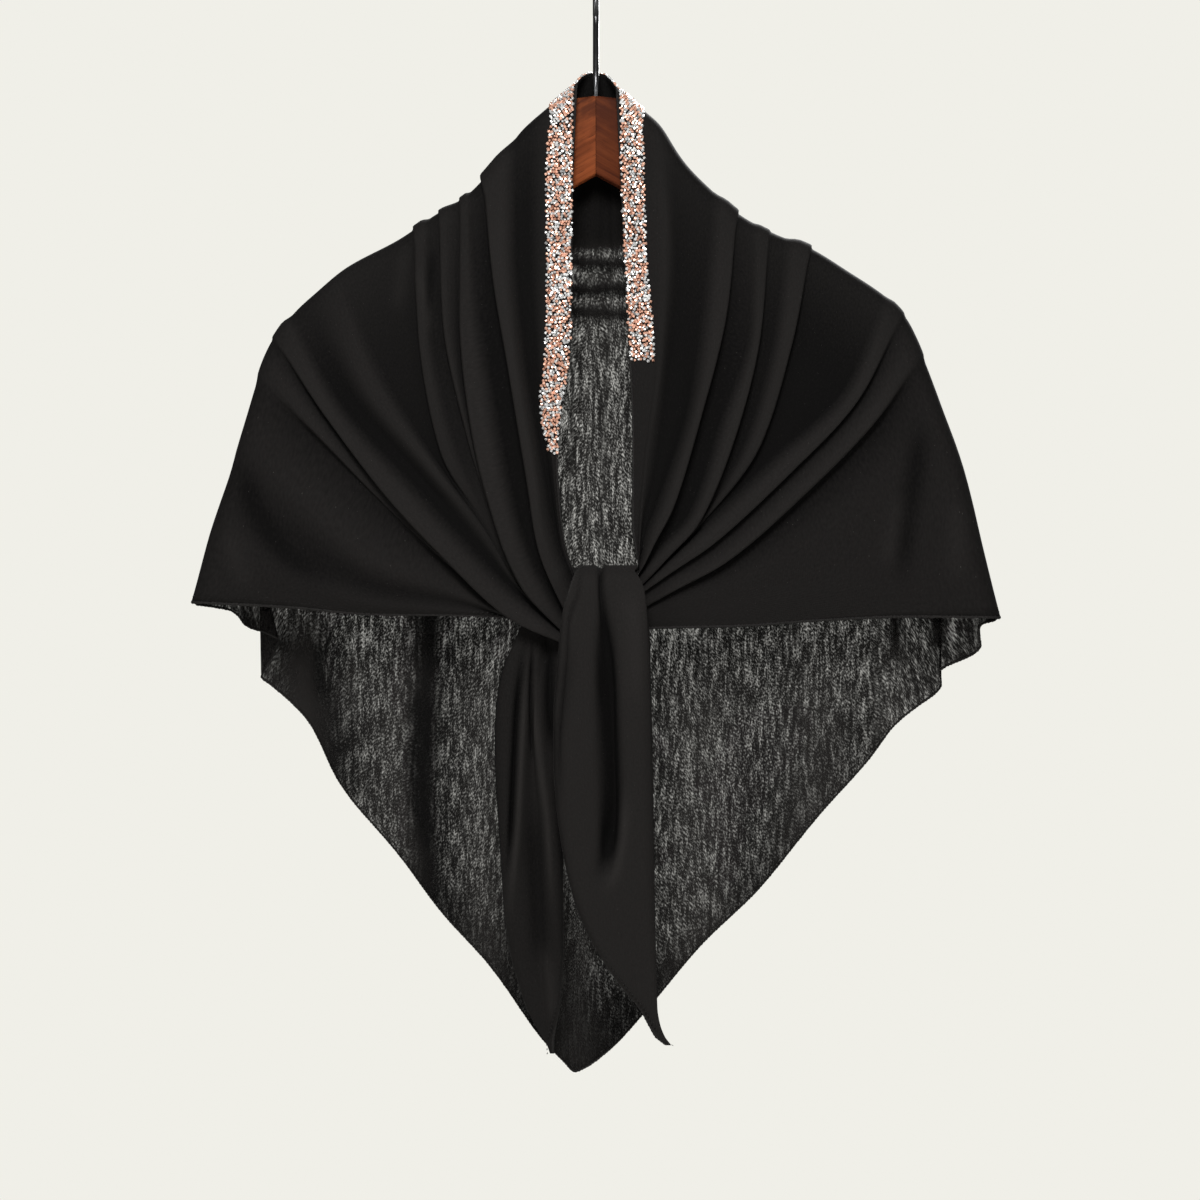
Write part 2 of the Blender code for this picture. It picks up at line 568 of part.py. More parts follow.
def make_knot():
    # The crossing inside the knot: a bundle wound once, square at both ends
    centre_z = (KNOT_TOP + KNOT_BOTTOM) / 2
    ends = np.array([-SIDES["left"]["knot"][0], SIDES["right"]["knot"][0]], float)
    left, right = placed(ends, np.full(2, -KNOT_DEPTH), np.full(2, centre_z))[:, 0]
    rings = []
    for f in np.linspace(0.0, 1.0, KNOT_RINGS):
        x = left + SEAM + (right - left - 2 * SEAM) * f
        ring = []
        for angle in np.arange(KNOT_SIDES) * 2 * math.pi / KNOT_SIDES:
            pleat = KNOT_PLEAT_DEPTH * math.cos(KNOT_PLEATS * angle + KNOT_WIND * f) ** 2
            ring.append((x, *knot_outline(angle, -pleat)))
        rings.append(ring)
    loft("knot", rings, "jersey")


def wood_top(side, out):
    # Level at the mitre, then just under the cloth
    table = np.array(SIDES[side]["turn"], float)
    line = turn_at(side, out)[:, 0]
    slope = np.gradient(line, out)
    under = line - WOOD_CLEAR * np.sqrt(1 + slope * slope)
    neck = WOOD_TOP - 0.12 * out
    shown = table[1, 0]
    f = ease((out - 10) / (shown - 10))
    return np.where(out < shown, neck * (1 - f) + np.minimum(neck, under) * f, under)


def make_arms():
    for side, spec in SIDES.items():
        sign = spec["sign"]
        out = np.concatenate([[SEAM / 2], WOOD_STEPS, WOOD_REACH - np.array(WOOD_TIP_STEPS)])
        top = wood_top(side, out)
        bottom = WOOD_APEX - WOOD_PITCH * out
        rings = []
        for x, high, low in zip(out, top, bottom):
            past = max(x - WOOD_REACH + WOOD_TIP, 0.0) / WOOD_TIP
            blunt = (1 + math.sqrt(1 - past * past)) / 2
            half = (high - low) / 2 * blunt
            middle = (high + low) / 2 - ((high - low) / 2 - half) * WOOD_TIP_DROP
            ring = []
            for angle in (np.arange(WOOD_SIDES) + 0.5) * 2 * math.pi / WOOD_SIDES:
                c, s = math.cos(angle), math.sin(angle)
                y = WOOD_THICK / 2 * blunt * math.copysign(abs(c) ** WOOD_SQUARE[0], c)
                z = middle + half * math.copysign(abs(s) ** WOOD_SQUARE[1], s)
                ring.append((sign * x, y, z))
            rings.append(ring)
        loft("hanger_arm_" + side, rings, "wood")


def make_hook():
    # The wire rises from the wood, leans back and bends over to the front
    radius = HOOK_INSIDE + WIRE / 2
    centre_z = -HOOK_INSIDE
    path = [(y, WOOD_TOP + height) for y, height in HOOK_STEM]
    for angle in np.radians(np.linspace(*HOOK_BEND, HOOK_STEPS + 1)):
        path.append((radius * math.cos(angle), centre_z + radius * math.sin(angle)))
    path = np.array(path)
    run = unit(np.gradient(path, axis=0))
    run[0] = (0.0, 1.0)
    rings = []
    for (y, z), (dy, dz) in zip(path, run):
        ring = []
        for angle in np.arange(WIRE_SIDES) * 2 * math.pi / WIRE_SIDES:
            side = WIRE / 2 * math.cos(angle)
            proud = WIRE / 2 * math.sin(angle)
            ring.append((side, y - dz * proud, z + dy * proud))
        rings.append(ring)
    loft("hanger_hook", rings, "metal")


for old in list(bpy.data.objects):
    bpy.data.objects.remove(old, do_unlink=True)

make_fronts()
make_back()
make_tails()
make_knot()
make_arms()
make_hook()
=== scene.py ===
# A black jersey headscarf with a crystal edge, hung round a wooden hanger and tied in front.
# Tables are in millimetres: x to the right, z up, and y to the back, from the hook's bend.

import math
import random

import bmesh
import bpy
import numpy as np
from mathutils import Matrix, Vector
from mathutils.bvhtree import BVHTree


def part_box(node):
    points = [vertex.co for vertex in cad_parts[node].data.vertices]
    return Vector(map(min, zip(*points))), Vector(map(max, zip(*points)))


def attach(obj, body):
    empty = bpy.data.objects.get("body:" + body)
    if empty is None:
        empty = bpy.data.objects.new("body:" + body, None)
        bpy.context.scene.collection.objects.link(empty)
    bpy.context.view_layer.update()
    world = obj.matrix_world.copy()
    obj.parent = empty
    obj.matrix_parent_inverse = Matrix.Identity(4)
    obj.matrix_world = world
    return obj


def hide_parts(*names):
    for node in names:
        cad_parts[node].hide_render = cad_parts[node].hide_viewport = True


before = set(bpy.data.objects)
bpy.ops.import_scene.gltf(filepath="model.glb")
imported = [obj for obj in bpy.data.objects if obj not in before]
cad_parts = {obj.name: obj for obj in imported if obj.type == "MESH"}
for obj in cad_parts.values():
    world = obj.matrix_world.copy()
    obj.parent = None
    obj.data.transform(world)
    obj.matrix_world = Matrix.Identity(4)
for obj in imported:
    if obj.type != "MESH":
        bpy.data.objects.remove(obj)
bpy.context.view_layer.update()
mm = 0.001
body = "root"

eye = dict(distance=2200.0, x=3.0, z=-452.0, width=876.0)    # width of the picture at the hanger


# Shader maths: a socket that Python's own operators work on

class Socket:
    def __init__(self, finish, socket):
        self.finish = finish
        self.socket = socket

    def maths(self, operation, first, second, clamp=False):
        settings = dict(operation=operation, use_clamp=clamp)
        return self.finish.node("Math", settings, {0: first, 1: second})

    def __add__(self, other):
        return self.maths("ADD", self, other)

    def __radd__(self, other):
        return self.maths("ADD", other, self)

    def __sub__(self, other):
        return self.maths("SUBTRACT", self, other)

    def __rsub__(self, other):
        return self.maths("SUBTRACT", other, self)

    def __mul__(self, other):
        return self.maths("MULTIPLY", self, other)

    def __rmul__(self, other):
        return self.maths("MULTIPLY", other, self)

    def held(self):
        return self.maths("ADD", self, 0.0, clamp=True)      # between 0 and 1

    def span(self, low, high):
        inputs = {"Value": self, "From Min": low, "From Max": high}
        return self.finish.node("MapRange", dict(interpolation_type="SMOOTHSTEP"), inputs)


class Finish:
    def __init__(self, name, roughness, metallic=0.0, specular=0.5):
        self.made = bpy.data.materials.new(name)
        self.made.use_nodes = True
        self.tree = self.made.node_tree
        self.shader = self.tree.nodes["Principled BSDF"]
        self.show("Roughness", roughness)
        self.show("Metallic", metallic)
        self.show("Specular IOR Level", specular)

    def node(self, kind, settings=(), inputs=(), out=0):
        made = self.tree.nodes.new("ShaderNode" + kind)
        for key, value in dict(settings).items():
            if key == "stops":
                ramp = made.color_ramp.elements
                while len(ramp) < len(value):
                    ramp.new(0.5)
                for stop, (place, shade) in zip(ramp, value):
                    stop.position = place
                    stop.color = rgba(shade)
            else:
                setattr(made, key, value)
        for key, value in dict(inputs).items():
            self.feed(made.inputs[key], value)
        return Socket(self, made.outputs[out])

    def feed(self, socket, value):
        if isinstance(value, Socket):
            self.tree.links.new(value.socket, socket)
        else:
            socket.default_value = value

    def show(self, key, value):
        self.feed(self.shader.inputs[key], value)

    def place(self):
        return self.node("TexCoord", out=3)

    def uv(self, name):
        return self.node("UVMap", dict(uv_map=name))

    def attribute(self, name):
        return self.node("Attribute", dict(attribute_name=name), out=2)

    def stretched(self, where, scale, turn=(0, 0, 0), place=(0, 0, 0)):
        inputs = {"Vector": where, "Scale": scale, "Rotation": turn, "Location": place}
        return self.node("Mapping", dict(vector_type="POINT"), inputs)

    def noise(self, where, scale, detail, roughness=0.5, place=(0, 0, 0)):
        where = self.stretched(where, scale, place=place)
        inputs = {"Vector": where, "Scale": 1.0, "Detail": detail, "Roughness": roughness}
        return self.node("TexNoise", dict(noise_dimensions="3D"), inputs)

    def mix(self, factor, one, other):
        inputs = {0: factor, 6: one, 7: other}
        return self.node("Mix", dict(data_type="RGBA"), inputs, 2)

    def bump(self, height, distance, strength, onto=None):
        inputs = {"Height": height, "Distance": distance, "Strength": strength}
        if onto:
            inputs["Normal"] = onto
        return self.node("Bump", inputs=inputs)


def rgba(shade):
    return (*shade, 1.0)


# Finishes

jerseyLook = dict(
    deep=(0.0022, 0.0020, 0.0019),     # painted shade, in furrows
    ridgeLit=(0.0172, 0.0157, 0.0148),     # painted light, on ridges
    lint=(0.060, 0.057, 0.053),
    lintSpan=(0.86, 0.885),            # where in its noise lint begins and is full
    heather=0.60,                      # how far single yarns differ from their surroundings
    wale=0.85, course=0.7,             # mm from one column or row of stitches to the next
    waleHigh=0.7, courseHigh=0.3,      # shares of the height
    waver=0.6,                         # how far columns and rows stray
    stitchHigh=0.00012, stitchBump=0.5,
    puckerHigh=0.0005, puckerBump=0.35,
    closed=0.055, open=0.67,           # share of the light that either face of the sheer knit lets by
    streaky=0.65, cloudy=0.18,         # shares of the broader patches in it
    holes=(0.78, 1.27),                # from its closed to its open stretches
    noises=dict(heather=(84, 50, 3.0), lint=(150, 150, 0.0), pucker=(26, 9, 3.0),
                grain=(96, 58, 2.0), streak=(34, 6, 2.0), cloud=(7, 1.6, 2.0)),
)


def jerseyFinish():
    look = jerseyLook
    f = Finish("blackJersey", roughness=0.9, specular=0.08)
    knit = f.uv("knit")                # one unit is 100 mm of cloth

    def noise(key):
        across, along, detail = look["noises"][key]
        return f.noise(knit, (across, along, 1), detail)

    def ribs(direction, spacing):
        settings = dict(wave_type="BANDS", bands_direction=direction, wave_profile="SIN")
        inputs = {"Vector": knit, "Scale": 100 / spacing / (2 * math.pi), "Distortion": look["waver"],
                  "Detail": 1.0, "Detail Scale": 2.0}
        return f.node("TexWave", settings, inputs, 1)

    # the tone attribute is painted light and shade: it mixes from the painted furrow shade to the painted
    # ridge light
    tone = (f.attribute("tone") + (noise("heather") - 0.5) * look["heather"]).held()
    shade = f.mix(tone, rgba(look["deep"]), rgba(look["ridgeLit"]))
    f.show("Base Color", f.mix(noise("lint").span(*look["lintSpan"]), shade, rgba(look["lint"])))
    stitches = ribs("X", look["wale"]) * look["waleHigh"] + ribs("Y", look["course"]) * look["courseHigh"]
    normal = f.bump(stitches, look["stitchHigh"], look["stitchBump"])
    f.show("Normal", f.bump(noise("pucker"), look["puckerHigh"], look["puckerBump"], normal))
    mottle = noise("grain") + noise("streak") * look["streaky"] + noise("cloud") * look["cloudy"]
    clear = look["closed"] + mottle.span(*look["holes"]) * (look["open"] - look["closed"])
    f.show("Alpha", (1.0 - f.attribute("thin") * clear).held())
    f.made.surface_render_method = "BLENDED"
    return f.made


threadLook = dict(dark=(0.006, 0.0056, 0.0053), light=(0.025, 0.0235, 0.0225),
                  fuzz=900, fuzzHigh=0.0003, fuzzBump=0.8)


def threadFinish():
    look = threadLook
    f = Finish("blackThread", roughness=0.9, specular=0.08)
    fuzz = f.noise(f.place(), (look["fuzz"],) * 3, 3.0)
    f.show("Base Color", f.mix(fuzz, rgba(look["dark"]), rgba(look["light"])))
    f.show("Normal", f.bump(fuzz, look["fuzzHigh"], look["fuzzBump"]))
    return f.made


def stoneFinish(name, dark, light):
    f = Finish(name, roughness=0.16, metallic=0.3, specular=0.8)
    # painted glints and reflections: each facet's colour lies between dark and light by its spark
    f.show("Base Color", f.mix(f.attribute("spark"), rgba(dark), rgba(light)))
    return f.made


woodLook = dict(
    pale=(0.250, 0.066, 0.021), mid=(0.150, 0.037, 0.012), dark=(0.030, 0.0075, 0.004),
    midAt=0.36,                        # where between dark and pale the middle shade lies
    lean=30.0,                         # how steeply the grain rises to the mitre, in degrees
    shift=(0.13, 0.02),                # so that the two arms have their own grain
    grain=(14, 60, 330), figure=(9, 20, 70), pores=(60, 300, 1500), blots=(60, 60, 130),
    grainShare=0.6, figureShare=0.55, grainSpan=(0.30, 0.84),
    poreSpan=(0.58, 0.74), poreDark=0.7,
    armDark={"Left": 0.0, "Right": 0.56},
    topSpan=(-142.3, -85.1), topDark=0.62,         # darker upwards, in blots
    blotSpan=(0.38, 0.62), blotless=0.45, blotDark=0.9,
    rough=(0.42, 0.2), grainHigh=0.0003, grainBump=0.35,
)


def woodFinish(side, sign):
    look = woodLook
    dark = rgba(look["dark"])
    f = Finish("hangerWood" + side, roughness=0.5, specular=0.03)
    right, back = look["shift"]
    along = f.stretched(f.place(), (1, 1, 1), turn=(0, -sign * math.radians(look["lean"]), 0),
                        place=(right * sign, back, 0))
    grain = f.noise(along, look["grain"], 5.0, roughness=0.62)
    figure = f.noise(along, look["figure"], 3.0, place=(3.1, 0, 1.7))
    pores = f.noise(along, look["pores"], 2.0).span(*look["poreSpan"]) * look["poreDark"]
    tone = (grain * look["grainShare"] + figure * look["figureShare"]).span(*look["grainSpan"])
    stops = [(0.0, look["dark"]), (look["midAt"], look["mid"]), (1.0, look["pale"])]
    shade = f.mix(pores, f.node("ValToRGB", dict(stops=stops), {"Fac": tone}), dark)
    shade = f.mix(look["armDark"][side], shade, dark)
    low, high = look["topSpan"]
    rise = 1 / ((high - low) * mm)
    upright = f.stretched(f.place(), (rise,) * 3, turn=(0, math.pi / 2, 0), place=(-low * mm * rise, 0, 0))
    upward = f.node("TexGradient", dict(gradient_type="LINEAR"), {"Vector": upright}, 1)
    blots = f.noise(along, look["blots"], 3.0).span(*look["blotSpan"])
    # darker towards the top, in blots
    upperDarkening = upward * look["topDark"] * (look["blotless"] + blots * look["blotDark"])
    f.show("Base Color", f.mix(upperDarkening.held(), shade, dark))
    smooth, rougher = look["rough"]
    f.show("Roughness", smooth + grain * rougher)
    f.show("Normal", f.bump(grain - pores, look["grainHigh"], look["grainBump"]))
    return f.made


wireLook = dict(dark=(0.06, 0.06, 0.062), light=(0.11, 0.11, 0.112), smears=(300, 300, 40),
                rough=(0.22, 0.16))


def wireFinish():
    look = wireLook
    f = Finish("darkWire", roughness=0.28, metallic=1.0)
    smears = f.noise(f.place(), look["smears"], 3.0)
    f.show("Base Color", f.mix(smears, rgba(look["dark"]), rgba(look["light"])))
    smooth, rougher = look["rough"]
    f.show("Roughness", smooth + smears * rougher)
    return f.made


jersey = jerseyFinish()
thread = threadFinish()
print("finishes made")


# Curves and sheets

def ease(f):
    f = np.clip(f, 0.0, 1.0)
    return f * f * (3.0 - 2.0 * f)


def rowsOf(keys, values, at):
    keys, values = np.asarray(keys, float), np.asarray(values, float)
    at = np.clip(np.asarray(at, float), keys[0], keys[-1])
    row = np.clip(np.searchsorted(keys, at, side="right") - 1, 0, len(keys) - 2)
    shape = at.shape + (1,) * (values.ndim - 1)
    span = (keys[row + 1] - keys[row]).reshape(shape)
    f = (at - keys[row]).reshape(shape) / span
    return keys, values, row, f, span


def spline(keys, values, at):
    # Smooth through a table's rows without swinging past them
    keys, values, row, f, span = rowsOf(keys, values, at)
    steps = np.diff(keys).reshape((-1,) + (1,) * (values.ndim - 1))
    rise = np.diff(values, axis=0) / steps
    both = rise[:-1] * rise[1:]
    mean = 2 * both / np.where(both > 0, rise[:-1] + rise[1:], 1.0)
    slopes = np.concatenate([rise[:1], np.where(both > 0, mean, 0.0), rise[-1:]])
    start, end = values[row], values[row + 1]
    return (start * (1 + 2 * f) * (1 - f) ** 2 + end * f * f * (3 - 2 * f)
            + slopes[row] * span * f * (1 - f) ** 2 - slopes[row + 1] * span * f * f * (1 - f))


def rolls(names, values, at, quick):
    # Heights between lines. A roll keeps its height past its line and then drops steeply into
    # the next furrow, which it lies over; from a roll's foot the height is gained quickly.
    keys, values, row, f, span = rowsOf(np.arange(len(values)), values, at)
    name = np.array(names)[row][:, None]
    f = np.where(name == "roll", ease((f - 0.5) / 0.5), np.where(name == "foot", ease(f / quick), ease(f)))
    return values[row] * (1 - f) + values[row + 1] * f


def waves(keys, values, at):
    # Level at every row, so that the rows are crests and furrows
    keys, values, row, f, span = rowsOf(keys, values, at)
    f = ease(f)
    return values[row] * (1 - f) + values[row + 1] * f


def placed(x, y, z):
    # A point that the eye sees at x, z in the hanger's plane, lying at depth y
    spread = 1.0 + y / eye["distance"]
    return np.stack([eye["x"] + (x - eye["x"]) * spread, y, eye["z"] + (z - eye["z"]) * spread], axis=-1)


def seen(points):
    # The other way round: where in the hanger's plane the eye sees a point
    spread = 1.0 + points[..., 1] / eye["distance"]
    x = eye["x"] + (points[..., 0] - eye["x"]) / spread
    z = eye["z"] + (points[..., 2] - eye["z"]) / spread
    return x, z


def lengths(steps):
    return np.linalg.norm(steps, axis=-1)


def arcOf(points, axis=0):
    # How far along the axis each point lies
    arc = np.cumsum(lengths(np.diff(points, axis=axis)), axis=axis)
    return np.insert(arc, 0, 0.0, axis=axis)


def pointsAt(at, arc, points):
    return np.stack([np.interp(at, arc, points[:, k]) for k in range(3)], axis=-1)


def unit(v):
    return v / np.maximum(np.linalg.norm(v, axis=-1, keepdims=True), 1e-9)


def facingOf(grid, towards):
    across, along = np.gradient(grid, axis=0), np.gradient(grid, axis=1)
    out = unit(np.cross(across, along))
    return out * np.sign((out @ np.asarray(towards, float)).sum())


def filled(values, widest, least):
    # Where to stand between values so that no step is wider than the widest
    at = [0.0]
    for k, (a, b) in enumerate(zip(values, values[1:])):
        steps = max(least, math.ceil(abs(b - a) / widest))
        at += [k + n / steps for n in range(1, steps + 1)]
    return np.array(at)


def alongPath(x, z, path, width, fade=0.3):
    # 1 on a path seen in the hanger's plane, falling off to its sides and at both ends
    path = np.array(path, float)
    steps = np.linspace(0, 1, 8 * (len(path) - 1) + 1)
    line = spline(np.linspace(0, 1, len(path)), path, steps)
    nearest = np.full(x.shape, 1e9)
    place = np.zeros(x.shape)
    for (x0, z0), (x1, z1), s0, s1 in zip(line, line[1:], steps, steps[1:]):
        dx, dz = x1 - x0, z1 - z0
        t = np.clip(((x - x0) * dx + (z - z0) * dz) / max(dx * dx + dz * dz, 1e-9), 0, 1)
        gap = np.hypot(x - x0 - t * dx, z - z0 - t * dz)
        closer = gap < nearest
        nearest = np.where(closer, gap, nearest)
        place = np.where(closer, s0 + (s1 - s0) * t, place)
    ends = ease(place / fade) * ease((1 - place) / fade)
    return ends * np.exp(-((nearest / width) ** 2))


creaseHigh = 8.0                       # mm of height that take the painted light and shade from one end to the other


def crease(grid, facing, folds):
    # Soft ridges and troughs along given paths: each with its half width and how far it
    # stands proud. Ridges get painted light and troughs painted shade.
    x, z = seen(grid)
    lift = np.zeros_like(x)
    for path, width, rise in folds:
        lift += rise * alongPath(x, z, path, width)
    return grid + facing * lift[..., None], lift / creaseHigh


def meshOf(name, points, faces):
    mesh = bpy.data.meshes.new(name)
    mesh.from_pydata([tuple(p) for p in np.asarray(points) * mm], [], faces)
    return mesh


def tubeFaces(first, shape):
    # Faces between rings of points, and one over either end
    at = first + np.arange(shape[0] * shape[1]).reshape(shape)
    ahead = np.roll(at, -1, axis=1)
    quads = np.stack([at[:-1], ahead[:-1], ahead[1:], at[1:]], axis=-1).reshape(-1, 4)
    return quads.tolist() + [at[0].tolist(), at[-1].tolist()]


def mapKnit(mesh, knit, thin, tone):
    # The knit's own map, how sheer the cloth is at each point, and its tone: painted light and shade
    corners = np.zeros(len(mesh.loops), int)
    mesh.loops.foreach_get("vertex_index", corners)
    mesh.uv_layers.new(name="knit").data.foreach_set("uv", (knit[corners] / 100).ravel())
    for key, values in (("thin", thin), ("tone", tone)):
        mesh.attributes.new(key, "FLOAT", "POINT").data.foreach_set("value", values.astype(np.float32))


def faceOutwards(mesh, merge=0.0):
    shape = bmesh.new()
    shape.from_mesh(mesh)
    if merge:
        bmesh.ops.remove_doubles(shape, verts=shape.verts, dist=merge)
        bmesh.ops.dissolve_degenerate(shape, edges=shape.edges, dist=merge / 2)
    bmesh.ops.recalc_face_normals(shape, faces=shape.faces)
    shape.to_mesh(mesh)
    shape.free()
    mesh.shade_smooth()


def objectOf(mesh, finish):
    mesh.materials.append(finish)
    made = bpy.data.objects.new(mesh.name, mesh)
    bpy.context.scene.collection.objects.link(made)
    return made


def fitted(made, slot, *nodes):
    if nodes:
        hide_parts(*nodes)
    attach(made, body)
    return made


def sheetPiece(name, parts, wall, *nodes):
    # One sheet of cloth from grids of points that share edges: (points, knit, thin, tone) each
    points, faces, knit, thin, tone = [], [], [], [], []
    count = 0
    for grid, uv, clear, shade in parts:
        rows, columns = grid.shape[:2]
        at = count + np.arange(rows * columns).reshape(rows, columns)
        count += rows * columns
        quads = np.stack([at[:-1, :-1], at[1:, :-1], at[1:, 1:], at[:-1, 1:]], axis=-1)
        faces.extend(map(tuple, quads.reshape(-1, 4).tolist()))
        points.append(grid.reshape(-1, 3))
        knit.append(np.asarray(uv).reshape(-1, 2))
        thin.append(np.broadcast_to(clear, grid.shape[:2]).reshape(-1))
        tone.append(np.broadcast_to(shade, grid.shape[:2]).reshape(-1))
    mesh = meshOf(name, np.concatenate(points), faces)
    mapKnit(mesh, np.concatenate(knit), np.concatenate(thin), np.concatenate(tone))
    faceOutwards(mesh, merge=0.00002)
    made = objectOf(mesh, jersey)
    solid = made.modifiers.new("wall", "SOLIDIFY")
    solid.thickness = wall * mm
    solid.offset = 0.0
    return fitted(made, "jersey", *nodes)


# The fronts. The turn is the cloth's line over the hanger, from the neck along the shoulder and
# down the side: distance out from the middle, height, depth. The lines are its folds, each from
# the turn to the knot: its kind, how far out it leaves the turn, its places (out, height) a
# quarter, half and three quarters of the way, and how far it stands proud there and at both ends.
# A roll stands over the furrow after it, and a foot is where cloth begins to rise. nearKnot has
# each line's place close to the knot, and knotShare how far down the knot's side it ends. The
# knot: how far out its side is, and its upper and lower ends.

leftFront = dict(
    sign=-1, knot=(16, -434, -481),
    turn=[(14, -75.5, 0), (24, -84, 0), (34, -93, 0), (52, -108, 0), (71, -132.5, 0), (94, -157, 0),
          (118, -172, 0), (143, -189, 0), (182, -210, 0), (205, -229, 0), (219, -242, 0), (232, -259, 0),
          (241, -276, 0), (256, -323, 0), (277, -394, 1), (295, -454, 4)],
    lines=[
        ("edge", 14, (17.5, -168.5), (18, -256), (28.5, -346), (0, 0, 0, -5, -2)),
        ("band", 32, (35.5, -178), (36.5, -265.5), (32, -349), (0.5, 1, 0, -4, 0)),
        ("foot", 50, (50, -187), (44.5, -270), (34.5, -352), (0, -1, -1, -2, 0)),
        ("foot", 58, (57.3, -197), (50.4, -276), (37.5, -357), (0, -0.5, -0.5, 0, 0)),
        ("roll", 76, (69.5, -209), (56.5, -281.5), (42.5, -369), (3, 6, 8, 9, 5)),
        ("furrow", 83, (74.5, -213.5), (61.5, -284.5), (46.5, -374), (0, 0, 0, 1, 0)),
        ("foot", 91, (86.5, -222), (73.5, -300), (59, -377), (0, 0, 0, 0, 0)),
        ("roll", 95, (94.5, -240), (83.5, -326), (66, -394.5), (1.5, 4, 7, 7, 5)),
        ("furrow", 100, (99, -244.5), (88, -329.5), (70.5, -398.5), (0, 0, 0, 0, 0)),
        ("roll", 110, (107, -246), (90.5, -332), (71.5, -399.3), (1.5, 4, 3, 0.5, 0)),
        ("furrow", 115, (110.8, -248), (93, -334), (72.3, -399.8), (0, 0, 0, 0, 0)),
        ("foot", 121, (119, -250.5), (102, -337), (74, -400.3), (0, 0, 0, 0, 0)),
        ("roll", 128, (125, -254), (109, -340), (76, -400.8), (2, 4, 3, 0, 0)),
        ("furrow", 134, (129.5, -258), (113.5, -343.5), (78, -401.5), (0, 0, 0, 0, 0)),
        ("foot", 186, (157, -282), (116.4, -350.2), (79.5, -402.3), (0, 0, 0, 0, 0)),
        ("crest", 196, (168, -293), (121.5, -355), (82, -404.2), (0, 4, 5, 1, 0)),
        ("furrow", 214, (179, -303.2), (128.5, -361.8), (87.5, -408.3), (0, 0, 0, 0, 0)),
        ("foot", 221, (185, -309), (133.7, -366.4), (91.6, -411.6), (0, 0, 0, 0, 0)),
        ("roll", 230, (190.5, -314.5), (142.5, -375), (100, -419), (2, 7, 8, 9, 6)),
        ("furrow", 235, (194.5, -318.5), (147, -379.3), (104, -423.3), (1, 2, 2, 3, 2)),
        ("roll", 241, (200.5, -325.5), (149.8, -382.5), (105.2, -424.8), (1, 4, 1.5, 2, 2)),
        ("furrow", 248, (205, -332), (152, -385.5), (106.2, -426.3), (0, 0, 0, 0, 0)),
        ("crest", 258, (216, -374), (160, -423), (104, -445), (0, 3, 4, 3, 2)),
        ("furrow", 268, (224, -403.5), (164, -441.5), (101, -454.5), (0, 0, 0, 0, 0)),
        ("side", 280, (230, -430), (163, -454), (98, -460), (1, 3, 2, 1, 1)),
        ("hem", 295, (227, -457.5), (158, -463), (95, -463.5), (0, 0, 0, 0, 0)),
    ],
    nearKnot=[(23.4, -408), (25, -409.5), (26.5, -410.5), (27.5, -411), (36, -412.5), (39.5, -413.5),
              (46.5, -419.5), (50.5, -436), (53.3, -440.5), (53.7, -441), (54, -441.4), (54.3, -441.8),
              (54.6, -442.2), (54.9, -442.6), (55.2, -443), (55.6, -443.6), (56.4, -445), (57.3, -447.5),
              (58.7, -459), (59.5, -464.3), (60.2, -464.8), (60.6, -465), (61, -465), (61.5, -465),
              (62, -464.9), (62.5, -464.8)],
    knotShare=(0, 0.05, 0.08, 0.12, 0.72, 0.84, 0.88, 0.96, 0.98, 0.982, 0.984, 0.986, 0.988, 0.99, 0.992,
               0.994, 0.996, 1, 1.03, 1.05, 1.052, 1.054, 1.056, 1.058, 1.06, 1.062),
    creases=[([(-138, -189), (-142, -218), (-146, -248)], 6, 1.5),
             ([(-132, -205), (-124, -235), (-118, -262)], 4, 1.2),
             ([(-118, -190), (-121, -222), (-124, -250)], 3, -1.2),
             ([(-262, -340), (-252, -380), (-226, -420), (-180, -446)], 9, -2.5),
             ([(-270, -395), (-262, -425), (-250, -446)], 8, 1.5)],
)
